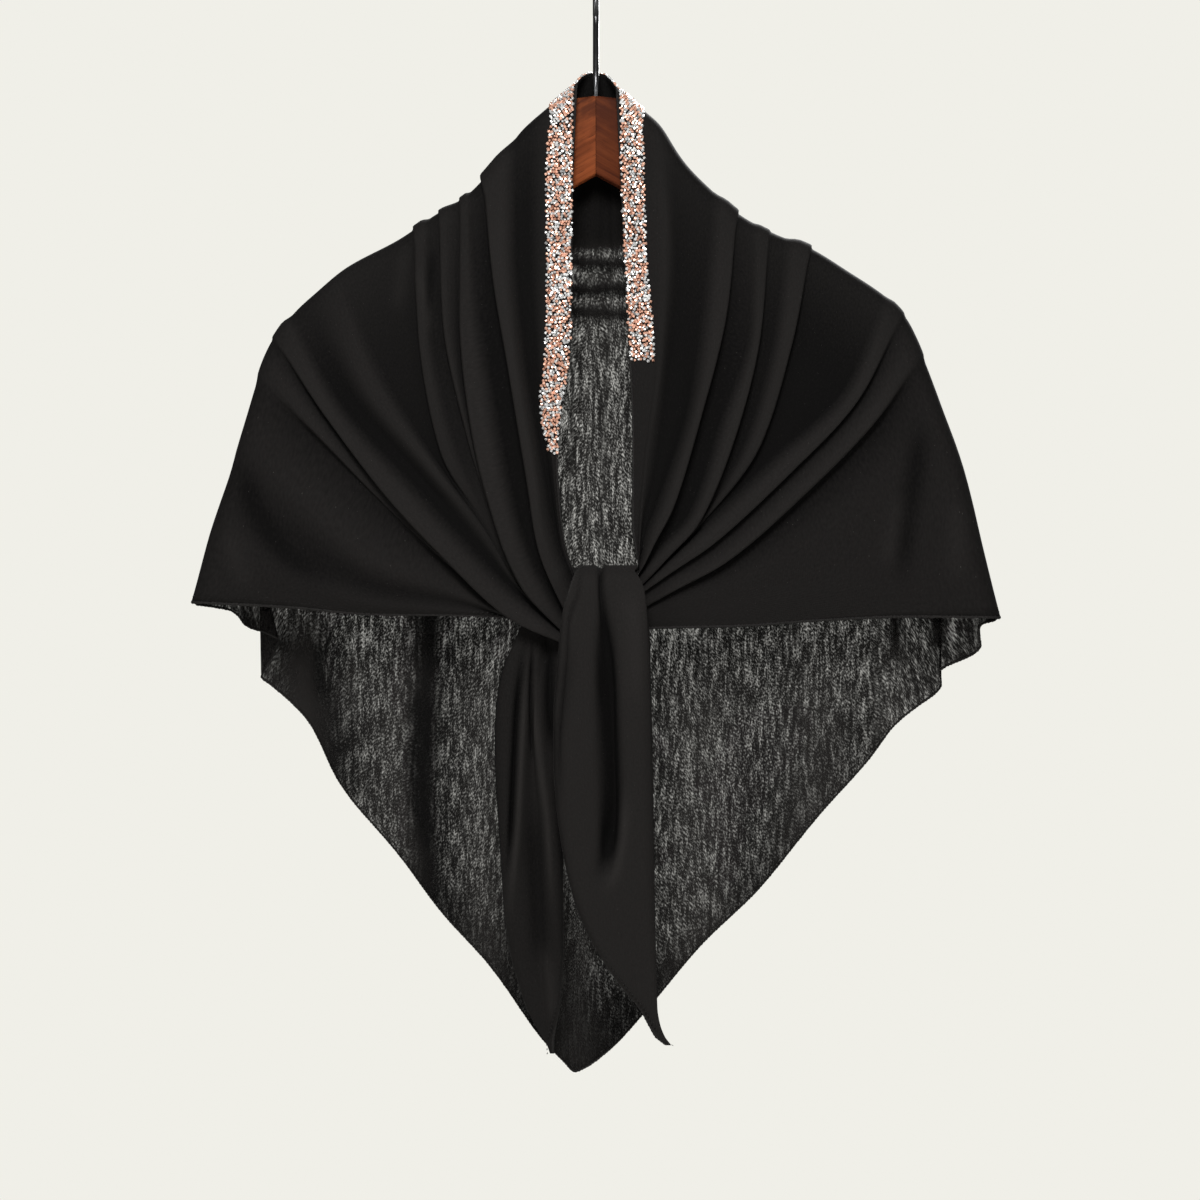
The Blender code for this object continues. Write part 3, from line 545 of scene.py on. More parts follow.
rightFront = dict(
    sign=1, knot=(31, -427, -473),
    turn=[(15, -78.5, 0), (24, -86, 0), (32, -93.5, 0), (45, -106, 0), (67, -136, 0), (85, -154, 0),
          (106, -172, 0), (130, -185, 0), (155, -195, 0), (183, -212, 0), (216, -235, 0), (227, -248, 0),
          (233, -262, 0), (245, -292, 0), (265, -350, 0), (281, -412, 1), (295, -465, 3)],
    lines=[
        ("edge", 15, (19.5, -169.5), (23.5, -256), (27, -342.5), (0, 0, 0, 0, 0)),
        ("band", 33, (37, -177.5), (41, -264.5), (34.5, -351), (0.5, 1, 0, 0, 0)),
        ("crest", 45, (50.5, -185.5), (47, -271), (36.5, -354), (1, 3, 2, 1, 1)),
        ("foot", 61, (61, -205), (54.5, -283), (43, -362), (0, 0, -1, -1, 0)),
        ("foot", 85, (77.5, -234), (67.6, -307.7), (45.5, -378.3), (0, 0, 0, 0, 0)),
        ("roll", 98, (90.5, -238.5), (72, -309.2), (50.5, -380.8), (2, 5, 8, 8, 5)),
        ("furrow", 104, (94.8, -239.2), (76.2, -310.5), (54, -383.3), (0, 0, 0, 0, 0)),
        ("foot", 114, (111.5, -252), (89.9, -322), (67, -389.2), (0, 0, 0, 0, 0)),
        ("roll", 122, (116, -253.7), (98, -324.5), (70.3, -392.5), (1, 4, 6, 6, 4)),
        ("furrow", 128, (119.8, -254.9), (101.8, -326.2), (73, -395), (0, 0, 0, 0, 0)),
        ("foot", 138, (129, -261), (109.5, -333), (74, -396), (0, 0, 0, 0, 0)),
        ("roll", 152, (137.5, -264.5), (115, -336.5), (74.8, -396.7), (2, 5, 5, 1, 0)),
        ("furrow", 158, (141.8, -266.5), (119, -338.8), (75.6, -397.4), (0, 0, 0, 0, 0)),
        ("foot", 210, (180.4, -298.2), (128.3, -348.3), (77.2, -398.7), (0, 0, 0, 0, 0)),
        ("roll", 219, (185, -303.5), (134.5, -355.5), (81.8, -404.8), (1, 7, 8, 8, 5)),
        ("furrow", 226, (188, -306.8), (138.2, -359.8), (84.6, -408.7), (0, 2, 3, 3, 2)),
        ("roll", 234, (196, -319.5), (146.8, -370), (91.5, -419.5), (1, 6, 6, 6, 3)),
        ("furrow", 240, (200, -326), (151.2, -375.2), (93.8, -423.3), (0, 0, 0, 0, 0)),
        ("slope", 252, (211, -366), (160, -406), (99.5, -440), (0, 2, 2, 2, 1)),
        ("slope", 270, (222, -419), (164.5, -441), (101.5, -455.5), (1, 1, 1, 1, 1)),
        ("hem", 295, (231.5, -464.5), (167, -467), (101.5, -471.5), (0, 0, 0, 0, 0)),
    ],
    nearKnot=[(26.5, -395), (31, -396), (32.5, -397), (34, -399), (36, -404.5), (38.8, -406.8),
              (41, -408.8), (46, -413.5), (49, -417.5), (51, -419.8), (51.4, -420.2), (51.7, -420.5),
              (52, -420.8), (52.8, -421.8), (54.5, -425.8), (55.5, -428.5), (57.5, -439.5),
              (58.3, -443.3), (60.5, -454), (61.5, -463), (62, -472.3)],
    knotShare=(0, 0.02, 0.025, 0.03, 0.035, 0.05, 0.07, 0.15, 0.27, 0.33, 0.335, 0.34, 0.345, 0.36, 0.39,
               0.42, 0.62, 0.71, 0.82, 0.92, 1),
    creases=[([(239, -309), (235, -354), (227, -401), (223, -449)], 8, -3),
             ([(226, -370), (219, -402), (212, -433)], 7, 2),
             ([(262, -372), (264, -410), (262, -446)], 8, 1.5)],
)
shawl = dict(
    wall=1.0, shoulderRound=12.0, bulge=14.0, knotDepth=30.0,
    relief=1.35, lean=0.45,            # how high the folds stand, and how far they lie over
    nearKnot=0.89,                     # how far along the folds their places near the knot are
    plainTone=0.42, fullRoll=6.0,      # tone of plain cloth between painted shade and painted light, and the height of a roll with full painted light
    # painted light on rolls and crests, painted shade in furrows
    rollLight=0.42, crestLight=0.3, furrowDark=1.0,
    quickRise=0.6, quickLight=0.45,    # how soon from its foot a roll is at full height and full painted light
    nape=(52, -205, 26, 0.75),         # painted shade behind the nape: half width, foot, softness, how much
    step=2.8, least=5,                 # mm between columns, and the least of them between two lines
    frontTurn=(0, 0.004, 0.009, 0.016, 0.026, 0.04), frontFrom=0.05, frontRows=74,
    backTurn=(0, 0.003, 0.007, 0.012, 0.018, 0.026), napeFrom=0.035, napeRows=10,
    swagSpan=(0.145, 0.27), swagRows=32, backRows=46,
)


def turnAt(front, out):
    table = np.array(front["turn"], float)
    return spline(table[:, 0], table[:, 1:], out)


def topOf(front, out):
    # Places along the line over the hanger, from how far out they are
    return np.column_stack([front["sign"] * out, turnAt(front, out)])


def rounded(distance):
    f = 1.0 - np.clip(distance / shawl["shoulderRound"], 0.0, 1.0)
    return np.sqrt(np.clip(1.0 - f * f, 0.0, 1.0))


def frontGrid(front, lineAt, alongAt):
    lines = front["lines"]
    keys = np.arange(len(lines))
    start = spline(keys, [row[1] for row in lines], lineAt)
    turn = turnAt(front, start)
    knotOut, knotTop, knotBottom = front["knot"]
    ends = knotTop + (knotBottom - knotTop) * spline(keys, front["knotShare"], lineAt)
    stations = [np.stack([start, turn[:, 0]], axis=-1)]
    for column in (2, 3, 4):
        stations.append(spline(keys, [row[column] for row in lines], lineAt))
    stations.append(spline(keys, front["nearKnot"], lineAt))
    stations.append(np.stack([np.full_like(ends, knotOut), ends], axis=-1))
    quarters = np.linspace(0.0, 1.0, 5)
    flat = spline([*quarters[:4], shawl["nearKnot"], 1.0], np.array(stations), alongAt).transpose(1, 0, 2)
    names = [row[0] for row in lines]
    rises = np.array([row[5] for row in lines], float) * shawl["relief"]
    leans = rises * np.array([name == "roll" for name in names])[:, None]
    rise, lean, tone = (
        spline(quarters, rolls(names, values, lineAt, shawl[quick]).T, alongAt).T
        for values, quick in ((rises, "quickRise"), (leans, "quickRise"), (foldTones(lines), "quickLight")))
    run = arcOf(flat, axis=1)
    drawnIn = ease(alongAt)[None, :]
    depth = turn[:, 1:2] * (1 - drawnIn) - shawl["bulge"] * rounded(run)
    depth = depth - drawnIn * (shawl["knotDepth"] - shawl["bulge"])
    grid = placed(front["sign"] * flat[..., 0], depth, flat[..., 1])
    outwards = unit(np.gradient(grid, axis=0))
    grid = grid + facingOf(grid, (0, -1, 0)) * rise[..., None] + outwards * lean[..., None] * shawl["lean"]
    grid, more = crease(grid, facingOf(grid, (0, -1, 0)), front["creases"])
    knit = np.stack([front["sign"] * start[:, None] + 0 * run, -run], axis=-1)
    return grid, knit, (tone + more).clip(0, 1)


def foldTones(lines):
    # Painted light along rolls and crests, painted shade in the furrows and at the feet beside them
    full = np.array([row[5] for row in lines], float).clip(0, shawl["fullRoll"]) / shawl["fullRoll"]
    tones = np.full(full.shape, shawl["plainTone"])
    for k, row in enumerate(lines):
        if row[0] == "roll":
            tones[k] += (1 - shawl["plainTone"]) * shawl["rollLight"] * full[k]
        if row[0] == "crest":
            tones[k] += (1 - shawl["plainTone"]) * shawl["crestLight"] * full[k]
        if row[0] in ("furrow", "foot"):
            tones[k] -= shawl["plainTone"] * shawl["furrowDark"] * full[max(k - 1, 0):k + 3].max(axis=0)
    return tones


def frontSamples(front):
    lineAt = filled([row[1] for row in front["lines"]], shawl["step"], shawl["least"])
    below = np.linspace(shawl["frontFrom"], 1.0, shawl["frontRows"])
    return lineAt, np.concatenate([shawl["frontTurn"], below])


# The back. Under each place along the turn (given by its x) stands the hem's own place: x, height
# and depth. Near both sides the hem doubles back in small flutes. The folds run down: x at the
# top, height there and at the hem. The swags lie across under the nape: how far down, height.

back = dict(
    hem=[(-295, -291, -455.5, 8), (-284, -264.5, -460.5, 18), (-279, -255, -471.5, 26),
         (-270, -241, -476, 33), (-263, -231.5, -482, 36), (-258, -235, -492, 40),
         (-252, -242.5, -505, 45), (-248, -244, -508.5, 47), (-242, -239, -513, 48),
         (-234, -228.5, -522.5, 47), (-220, -210, -543, 44), (-194, -186, -584.5, 41),
         (-163, -155, -625.5, 38), (-119, -110, -681, 35), (-68, -67, -733.5, 32),
         (-32, -37, -774.5, 30), (-14, -25, -788, 29), (0, -15.5, -797, 29),
         (15, -8, -794, 29), (33, 9, -781, 29), (61, 39, -748.5, 30), (92, 76, -706, 31),
         (132, 117.5, -663.5, 33), (160, 147, -629.5, 35), (191, 179.5, -590.5, 37),
         (216, 207, -558.5, 39), (230, 224, -539, 41), (238, 236.5, -528, 43),
         (246, 249.5, -518, 44), (252, 252.5, -512, 44), (256, 250.5, -504.5, 40),
         (261, 261.5, -498, 35), (267, 276, -491.5, 29), (273, 281, -485.5, 24),
         (280, 279, -476.5, 19), (287, 281, -470.5, 13), (295, 291, -467, 8)],
    collar=[(-14, -75.5, 0), (-9.5, -70, 7), (-4, -67.8, 12), (0, -67.3, 13.5), (5, -68.2, 12.5),
            (10, -72, 7), (15, -78.5, 0)],                 # the edge behind the neck
    collarRound=30.0, collarColumns=18,
    folds=[(-295, 0, 0), (-248, 0, 0), (-224, 1, 4), (-188, 0, -5), (-152, 2, 4), (-122, 0, -6),
           (-84, 2, 4), (-45, 0, -3), (0, 1, 4), (48, 0, -3), (92, 2, 5), (132, 0, -3),
           (172, 1, 4), (205, 0, -3), (224, 1, 4), (242, 0, -2), (256, 0, 0), (295, 0, 0)],
    foldRound=60.0,
    swags=[(0, 0), (112, 0), (128, 4), (135, -2.5), (144, 4), (154, -3), (163, 3), (172, -2),
           (184, 2), (206, 0)],
    swagFrom=-70.0, swagReach=55.0, swagLift=3.0, swagFlat=0.25,
    reliefHigh=14.0,                   # mm of height that take the painted light and shade from one end to the other
    lowFrom=-690.0, lowSoft=70.0, lowDark=0.2,         # painted shade towards the point
    drawnTo=16.0,                      # how far down the back goes with the fronts' folds
    creases=[([(-178, -458), (-176, -500), (-181, -540)], 6, 4),
             ([(-196, -470), (-199, -530)], 7, -4),
             ([(-126, -508), (-127, -570), (-120, -640)], 9, -5),
             ([(-95, -300), (-104, -420), (-112, -520)], 10, -5),
             ([(60, -330), (66, -430), (72, -540)], 11, -5),
             ([(128, -250), (142, -380), (150, -520)], 10, 4),
             ([(-150, -270), (-168, -370), (-176, -460)], 11, 4),
             ([(218, -440), (219, -490)], 5, -4),
             ([(249, -440), (249, -478)], 4, -4),
             ([(10, -560), (4, -660), (-6, -740)], 12, 4)],
)

# The back is sheer where it is a single layer. The veils are where more than one lies, or where
# it hangs steeply: paths with half width and strength.
sheer = dict(
    below=-194.0, soft=4.0,            # the nape above is double
    turnOver=10.0, turnSoft=20.0,      # so is the cloth close to the turn
    neckLight=0.25, neckHalf=45.0, neckSide=15.0, neckFoot=-440.0, neckSoft=20.0,
    narrow=12.0, narrowFade=0.12, broadFade=0.35,
    veils=[([(-40, -205), (0, -206), (40, -208)], 3.6, 1.0),
           ([(-40, -223), (-8, -226), (12, -224), (40, -229)], 4.2, 1.0),
           ([(-40, -241), (0, -242), (40, -246)], 4.6, 0.95),
           ([(-120, -420), (-124, -520), (-126, -600), (-120, -690)], 11, 0.88),
           ([(-232, -440), (-215, -500), (-206, -560), (-190, -640)], 23, 0.93),
           ([(-258, -450), (-245, -500)], 14, 0.6),
           ([(218, -430), (219, -500)], 4.5, 0.85),
           ([(249, -430), (249, -490)], 6, 0.9),
           ([(-160, -640), (-90, -715), (-30, -775)], 26, 0.6),
           ([(150, -640), (90, -705), (20, -780)], 24, 0.5),
           ([(-46, -640), (-30, -720), (-16, -830)], 28, 0.72),
           ([(190, -520), (150, -620), (110, -680)], 22, 0.35),
           ([(70, -690), (20, -755), (-24, -830)], 20, 0.45),
           ([(-90, -740), (-16, -800), (60, -740)], 32, 0.6)],
)


def backTops(tops):
    # The back's upper edge: the fronts' lines over the hanger with the collar between them
    collar = np.array(back["collar"], float)
    inner = np.linspace(collar[0, 0], collar[-1, 0], back["collarColumns"] + 2)[1:-1]
    ring = np.column_stack([inner, spline(collar[:, 0], collar[:, 1:], inner)])
    return np.concatenate([tops[0][::-1], ring, tops[1]])


def backGrid(tops, f):
    hem = np.array(back["hem"], float)
    ends = spline(hem[:, 0], hem[:, 1:], tops[:, 0])
    f = np.asarray(f)[None, :]
    x = tops[:, 0:1] * (1 - f) + ends[:, 0:1] * f
    z = tops[:, 1:2] * (1 - f) + ends[:, 1:2] * f
    run = lengths(ends[:, :2] - tops[:, :2])[:, None] * f
    behind = (tops[:, 2:3] / shawl["bulge"]).clip(0, 1)        # 1 at the middle of the collar
    depth = tops[:, 2:3] * (1 - f) + ends[:, 2:3] * f
    depth += shawl["bulge"] * rounded(run) * (1 - f) * (1 - behind)
    depth += (shawl["bulge"] - tops[:, 2:3]) * behind * ease(run / back["collarRound"]) * (1 - f)
    grid = placed(x, depth, z)
    facing = facingOf(grid, (0, 1, 0))
    folds = np.array(back["folds"], float)
    rise = waves(folds[:, 0], folds[:, 1:], tops[:, 0])
    rise = (rise[:, :1] * (1 - f) + rise[:, 1:] * f) * ease(run / back["foldRound"])
    swags = np.array(back["swags"], float)
    below = back["swagFrom"] - z - back["swagLift"] * (x / back["swagReach"]) ** 2
    slack = waves(swags[:, 0], swags[:, 1], below)
    slack *= ease((1 - abs(x) / back["swagReach"]) / (1 - back["swagFlat"]))
    slack *= ease(run / back["collarRound"])
    grid = grid + facing * (rise + slack)[..., None]
    grid, creased = crease(grid, facingOf(grid, (0, 1, 0)), back["creases"])
    knit = np.stack([tops[:, 0:1] + 0 * run, run], axis=-1)
    # painted shade behind the nape
    halfWidth, low, soft, dark = shawl["nape"]
    nape = dark * ease((halfWidth - abs(x)) / soft) * ease((z - low) / soft)
    # painted light on raised folds and creases, painted shade in hollow ones and towards the point
    tone = shawl["plainTone"] * (1 - nape) + creased + (rise + slack) / back["reliefHigh"]
    tone -= back["lowDark"] * ease((back["lowFrom"] - z) / back["lowSoft"])
    return grid, knit, run, tone.clip(0, 1)


def thinness(grid, run):
    x, z = seen(grid)
    thin = ease((run - sheer["turnOver"]) / sheer["turnSoft"]) * ease((sheer["below"] - z) / sheer["soft"])
    neck = ease((sheer["neckHalf"] - abs(x)) / sheer["neckSide"])
    neck *= ease((z - sheer["neckFoot"]) / sheer["neckSoft"])
    thin *= 1 + sheer["neckLight"] * neck
    for path, width, strength in sheer["veils"]:
        fade = sheer["narrowFade"] if width < sheer["narrow"] else sheer["broadFade"]
        thin *= 1 - strength * alongPath(x, z, path, width, fade)
    return thin


def makeShawl():
    parts, edges, rows, tops = [], [], [], []
    for front in (leftFront, rightFront):
        at, alongAt = frontSamples(front)
        grid, knit, tone = frontGrid(front, at, alongAt)
        parts.append((grid, knit, 0.0, tone))
        out = spline(np.arange(len(front["lines"])), [row[1] for row in front["lines"]], at)
        tops.append(topOf(front, out))
        edges += [edgeOf(grid, "first"), edgeOf(grid, "last")]
        rows += [(edges[-1], hem["overlockAt"]), (edges[-1], hem["rowAt"])]
    low, high = shawl["swagSpan"]
    f = np.concatenate([
        shawl["backTurn"], np.linspace(shawl["napeFrom"], low, shawl["napeRows"])[:-1],
        np.linspace(low, high, shawl["swagRows"]), np.linspace(high, 1.0, shawl["backRows"])[1:]])
    grid, knit, run, tone = backGrid(backTops(tops), f)
    lefts, rights = len(tops[0]), len(tops[1])
    drawn = np.zeros_like(grid[:, 0])              # the back starts where the fronts' folds do
    drawn[:lefts] = parts[0][0][::-1, 0] - grid[:lefts, 0]
    drawn[-rights:] = parts[1][0][:, 0] - grid[-rights:, 0]
    grid = grid + drawn[:, None] * (1 - ease(run / back["drawnTo"]))[..., None]
    parts.append((grid, knit, thinness(grid, run), tone))
    made = sheetPiece("shawl", parts, shawl["wall"], "front_left", "front_right", "back_panel")
    edges.append(edgeOf(grid, "end"))
    rows += [(edges[-1], hem["rowAt"]), (seamOn(made, hem["seam"]), 0.0)]
    return made, hemPiece("shawlHem", edges, rows)


# Rolled hems with overlocked edges, and rows of stitches: each follows an edge of a grid

hem = dict(
    width=2.3, thick=1.7, sides=6, step=0.9, inside=0.25,      # inside: how far in it lies, in widths
    loop=2.6, loopDepth=0.2, ragged=0.07, wander=0.075,
    overlockAt=1.2, rowAt=4.6,         # mm from the edge to each row of stitches
    stitch=1.9, gap=1.1, thread=0.42, rowWander=0.18, slant=(0.15, 0.12),
    seed=3,
    seam=[(-68.5, -345), (-68.3, -362), (-67.6, -380), (-66.8, -396)],       # as seen, on the left front
    seamPlaces=24,
)


def edgeOf(grid, edge):
    # The points along one edge of a grid, the way to the cloth's inside and the cloth's facing
    turned = {"first": grid, "last": grid[::-1], "start": grid.transpose(1, 0, 2),
              "end": grid[:, ::-1].transpose(1, 0, 2)}[edge]
    path = turned[0]
    inner = unit(turned[3] - path)
    heading = unit(np.gradient(path, axis=0))
    return path, inner, unit(np.cross(heading, inner))


def clothTree(piece):
    shape = bmesh.new()
    shape.from_mesh(piece.data)
    tree = BVHTree.FromBMesh(shape)
    shape.free()
    return tree


def seenOn(tree, x, z):
    # Where the eye meets the cloth at x, z, and the cloth's direction towards it
    start = np.array([eye["x"], -eye["distance"], eye["z"]])
    ray = np.array([x, 0.0, z]) - start
    hit, normal, _, _ = tree.ray_cast(Vector(start * mm), Vector(ray * mm).normalized())
    if hit is not None and normal.y > 0:
        normal.negate()
    return hit, normal


def seamOn(piece, places):
    tree = clothTree(piece)
    line = spline(np.arange(len(places)), places, np.linspace(0, len(places) - 1, hem["seamPlaces"]))
    found = [seenOn(tree, x, z) for x, z in line]
    path = np.array([hit / mm for hit, normal in found])
    facing = np.array([normal for hit, normal in found])
    return path, unit(np.cross(unit(np.gradient(path, axis=0)), facing)), facing


def evenly(edge, step):
    arc = arcOf(edge[0])
    at = np.linspace(0, arc[-1], max(2, int(arc[-1] / step)))
    return at, [pointsAt(at, arc, each) for each in edge]


def hemPiece(name, edges, rows):
    # edges: those that get a rolled hem. rows: (edge, distance inside it) that get stitches.
    draw = np.random.default_rng(hem["seed"])
    points, faces = [], []
    angles = np.linspace(0, 2 * math.pi, hem["sides"] + 1)[:-1]
    for edge in edges:
        at, (path, inner, facing) = evenly(edge, hem["step"])
        loops = hem["loopDepth"] * np.sin(at * 2 * math.pi / hem["loop"])
        size = (1 + loops + draw.normal(0, hem["ragged"], len(at)))[:, None, None]
        inside = hem["width"] * hem["inside"] + draw.normal(0, hem["wander"], len(at))
        path = path + inner * inside[:, None]
        wide = inner[:, None] * np.cos(angles)[None, :, None] * size * hem["width"] / 2
        deep = facing[:, None] * np.sin(angles)[None, :, None] * size * hem["thick"] / 2
        rings = path[:, None] + wide + deep
        faces.extend(tubeFaces(len(points), rings.shape[:2]))
        points.extend(rings.reshape(-1, 3))
    half, thick = hem["stitch"] / 2, hem["thread"]
    high = shawl["wall"] / 2 + thick
    for edge, inside in rows:
        at, (path, inner, facing) = evenly(edge, hem["stitch"] + hem["gap"])
        heading = unit(np.gradient(path, axis=0))
        middle = path + inner * (inside + draw.normal(0, hem["rowWander"], len(at)))[:, None]
        for p, along, across, out in zip(middle, heading, inner, facing):
            n = len(points)
            slant = unit(along + across * draw.normal(*hem["slant"]))
            points.extend([p - slant * half, p + slant * half, p + across * thick, p - across * thick,
                           p + out * high, p - out * high])
            faces.extend([n + a, n + b, n + c] for a in (0, 1) for b, c in ((2, 4), (4, 3), (3, 5), (5, 2)))
    mesh = meshOf(name, points, faces)
    faceOutwards(mesh)
    return fitted(objectOf(mesh, thread), "jersey")


shawlPiece, shawlHem = makeShawl()
print("shawl made")


# The hanging ends. Sections: height, left and right edges, how far before the hanger's plane it
# hangs, how deep its furrow is and how far its edges turn back.

frontTail = dict(
    sections=[(-431, -14.5, 28, 45, 1.5, 0), (-436, -16.5, 32, 49.5, 4, 0), (-446, -20, 35.5, 52.2, 6, 0.5),
              (-462, -24, 37, 53.5, 7, 3), (-484, -26.5, 38.5, 54, 7, 7), (-512, -29, 39.5, 53.5, 7, 9),
              (-540, -31.5, 40.5, 53, 6.5, 9), (-569, -32, 41, 52, 6, 9), (-598, -29, 41.5, 51, 5.5, 8.5),
              (-634, -24, 42, 50, 4, 8), (-664, -17.5, 42.5, 49, 2.5, 7), (-690, -8, 43, 48, 1.5, 6),
              (-711, 3, 43.5, 47.5, 1, 4), (-733, 18, 44, 47, 0.5, 2.5), (-750, 32, 44.5, 47, 0, 1),
              (-762, 38.5, 46.5, 47, 0, 0.5), (-771, 43.5, 50.5, 47, 0, 0), (-777, 51, 55, 47, 0, 0)],
    # tone: the end's painted light level, lighter on this end than on the left one
    rows=130, columns=56, hemAt="start", tone=0.66,
    furrowAt=0.5, furrowShare=0.35,
    overClear=1.0, overEdges=(-12.0, 30.0), overTurn=(-25, 112), overRows=30,      # round the knot
    creases=[([(3, -405), (4, -440), (6, -470), (7.5, -500)], 2.2, -4.5),
             ([(6.5, -452), (8, -500), (10, -550), (11.5, -598), (9.5, -632), (0, -662)], 5.6, -11),
             ([(21, -585), (20, -620), (15, -648), (5, -672)], 5, 3),
             ([(-10.5, -415), (-11.7, -442), (-20.2, -469), (-22, -493), (-25, -518), (-27.5, -554),
               (-28, -600)], 1.5, -2),
             ([(-17, -470), (-23, -520), (-29, -560), (-27, -610)], 5, -2),
             ([(24, -440), (29, -480), (30, -540)], 8, 1.5)],
)
leftTail = dict(
    sections=[(-455, -52, -16, 23, 2, 0), (-468, -54, -16, 23, 3, 0), (-484, -60, -17.5, 24, 4, 2),
              (-504, -68, -22, 26, 6, 5), (-530, -72.5, -24, 27, 7, 7), (-562, -73.5, -24.5, 27, 7, 8),
              (-595, -72, -24.5, 27, 7, 8), (-635, -69.5, -24.5, 26.5, 7, 7), (-672, -67, -24.5, 26, 7, 6),
              (-706, -63, -24, 25.5, 6, 5), (-733, -56, -26, 25, 4, 4), (-750, -50, -28, 25, 2, 2),
              (-764, -43, -29.5, 25, 1, 1), (-776, -36, -31, 25, 0, 0), (-783, -33.5, -31, 25, 0, 0)],
    rows=120, columns=56, hemAt="end", tone=0.42,
    furrowAt=0.58, furrowShare=0.25,
    creases=[([(-48, -470), (-53, -525), (-55, -569), (-57, -612), (-60, -650), (-66, -705)], 4, 4.5),
             ([(-50, -474), (-57, -525), (-59.5, -569), (-62, -620), (-66, -660)], 2.6, -6),
             ([(-43.5, -474), (-43.5, -525), (-40, -569), (-35, -612), (-33, -650), (-31, -695)], 4, 4.5),
             ([(-46, -478), (-47.5, -525), (-46, -575)], 1.6, -4),
             ([(-48, -590), (-44.5, -642), (-42, -686), (-41, -735)], 8, -2.2),
             ([(-40, -700), (-33, -735), (-31, -765)], 5, 2),
             ([(-34, -474), (-34, -520), (-30, -570)], 4, -4)],
)
tails = dict(furrow=0.085, slope=0.2, slopeDeep=0.35, rimFrom=0.36, rimWide=0.14)      # shares of the width
knot = dict(top=-428.4, bottom=-481.0, front=45.2, back=16.0, square=0.7,
            pleats=5, pleat=1.2, wind=2.5, clear=0.3, sides=72, rings=24, mapRound=20.0, sharp=60.0)


def tailGrid(tail):
    table = np.array(tail["sections"], float)
    heights = -table[:, 0]
    at = np.linspace(heights[0], heights[-1], tail["rows"])
    left, right, depth, furrow, turnedBack = spline(heights, table[:, 1:], at).T[:, :, None]
    g = np.linspace(0.0, 1.0, tail["columns"])[None, :]
    side = tail["furrowAt"]
    across = np.where(g < side, g / side / 2, 0.5 + (g - side) / (1 - side) / 2) - 0.5
    trough = np.exp(-((across / tails["furrow"]) ** 2))
    trough += tails["slopeDeep"] * np.exp(-((across / tails["slope"]) ** 2))
    rim = np.clip((abs(across) - tails["rimFrom"]) / tails["rimWide"], 0, 1)
    edge = 1 - np.sqrt(np.clip(1 - rim ** 2, 0, 1))
    depth = depth - furrow * tail["furrowShare"] * trough - turnedBack * edge
    return placed(left + (right - left) * g, -depth, -at[:, None] + 0 * g)


def knotOutline(angle, clear):
    c, s = np.cos(angle), np.sin(angle)
    halfDepth = (knot["front"] - knot["back"]) / 2 + clear
    halfHeight = (knot["top"] - knot["bottom"]) / 2 + clear
    y = -(knot["front"] + knot["back"]) / 2 + halfDepth * np.sign(c) * abs(c) ** knot["square"]
    z = (knot["top"] + knot["bottom"]) / 2 + halfHeight * np.sign(s) * abs(s) ** knot["square"]
    return y, z


def overKnot(tail, first):
    # The rows of the front end that come over the knot, down to its first hanging row
    low, high = tail["overEdges"]
    x = low + (high - low) * (first[:, 0] - first[0, 0]) / (first[-1, 0] - first[0, 0])
    y, z = knotOutline(np.radians(np.linspace(*tail["overTurn"], tail["overRows"])), tail["overClear"])
    return np.stack([x + 0 * y[:, None], y[:, None] + 0 * x, z[:, None] + 0 * x], axis=-1)


def makeTails():
    front = tailGrid(frontTail)
    front = np.concatenate([overKnot(frontTail, front[0]), front])
    pieces = []
    for name, node, points, tail in (("frontTail", "tail_front", front, frontTail),
                                     ("leftTail", "tail_left", tailGrid(leftTail), leftTail)):
        points, creased = crease(points, facingOf(points, (0, -1, 0.2)), tail["creases"])
        knit = np.stack([points[..., 0], -arcOf(points)], axis=-1)
        # painted light and shade: each end has its own painted light level, and its creases add more
        tone = (tail["tone"] + creased).clip(0, 1)
        made = sheetPiece(name, [(points, knit, 0.0, tone)], shawl["wall"], node)
        side = edgeOf(points, tail["hemAt"])
        pieces.append((made, hemPiece(name + "Hem", [side], [(side, hem["rowAt"])])))
    return pieces


def makeKnot():
    # The crossing inside the knot, a bundle wound once
    low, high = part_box("knot")
    angles = np.linspace(0, 2 * math.pi, knot["sides"] + 1)[:-1]
    rings = []
    for f in np.linspace(0, 1, knot["rings"]):
        pleat = knot["pleat"] * np.cos(knot["pleats"] * angles + knot["wind"] * f) ** 2
        y, z = knotOutline(angles, -pleat - knot["clear"])
        x = low.x / mm + (high.x - low.x) / mm * f
        rings.append(np.stack([np.full_like(y, x), y, z], axis=-1))
    rings = np.array(rings)
    mesh = meshOf("knotCrossing", rings.reshape(-1, 3), tubeFaces(0, rings.shape[:2]))
    across = np.broadcast_to(angles * knot["mapRound"], rings.shape[:2])
    knit = np.stack([rings[..., 0], across], axis=-1).reshape(-1, 2)
    mapKnit(mesh, knit, np.zeros(len(knit)), np.full(len(knit), shawl["plainTone"]))
    faceOutwards(mesh)
    mesh.set_sharp_from_angle(angle=math.radians(knot["sharp"]))
    return fitted(objectOf(mesh, jersey), "jersey", "knot")


tailPieces = makeTails()
knotPiece = makeKnot()
print("ends and knot made")


# The crystal edge: height, its left and right edges as seen

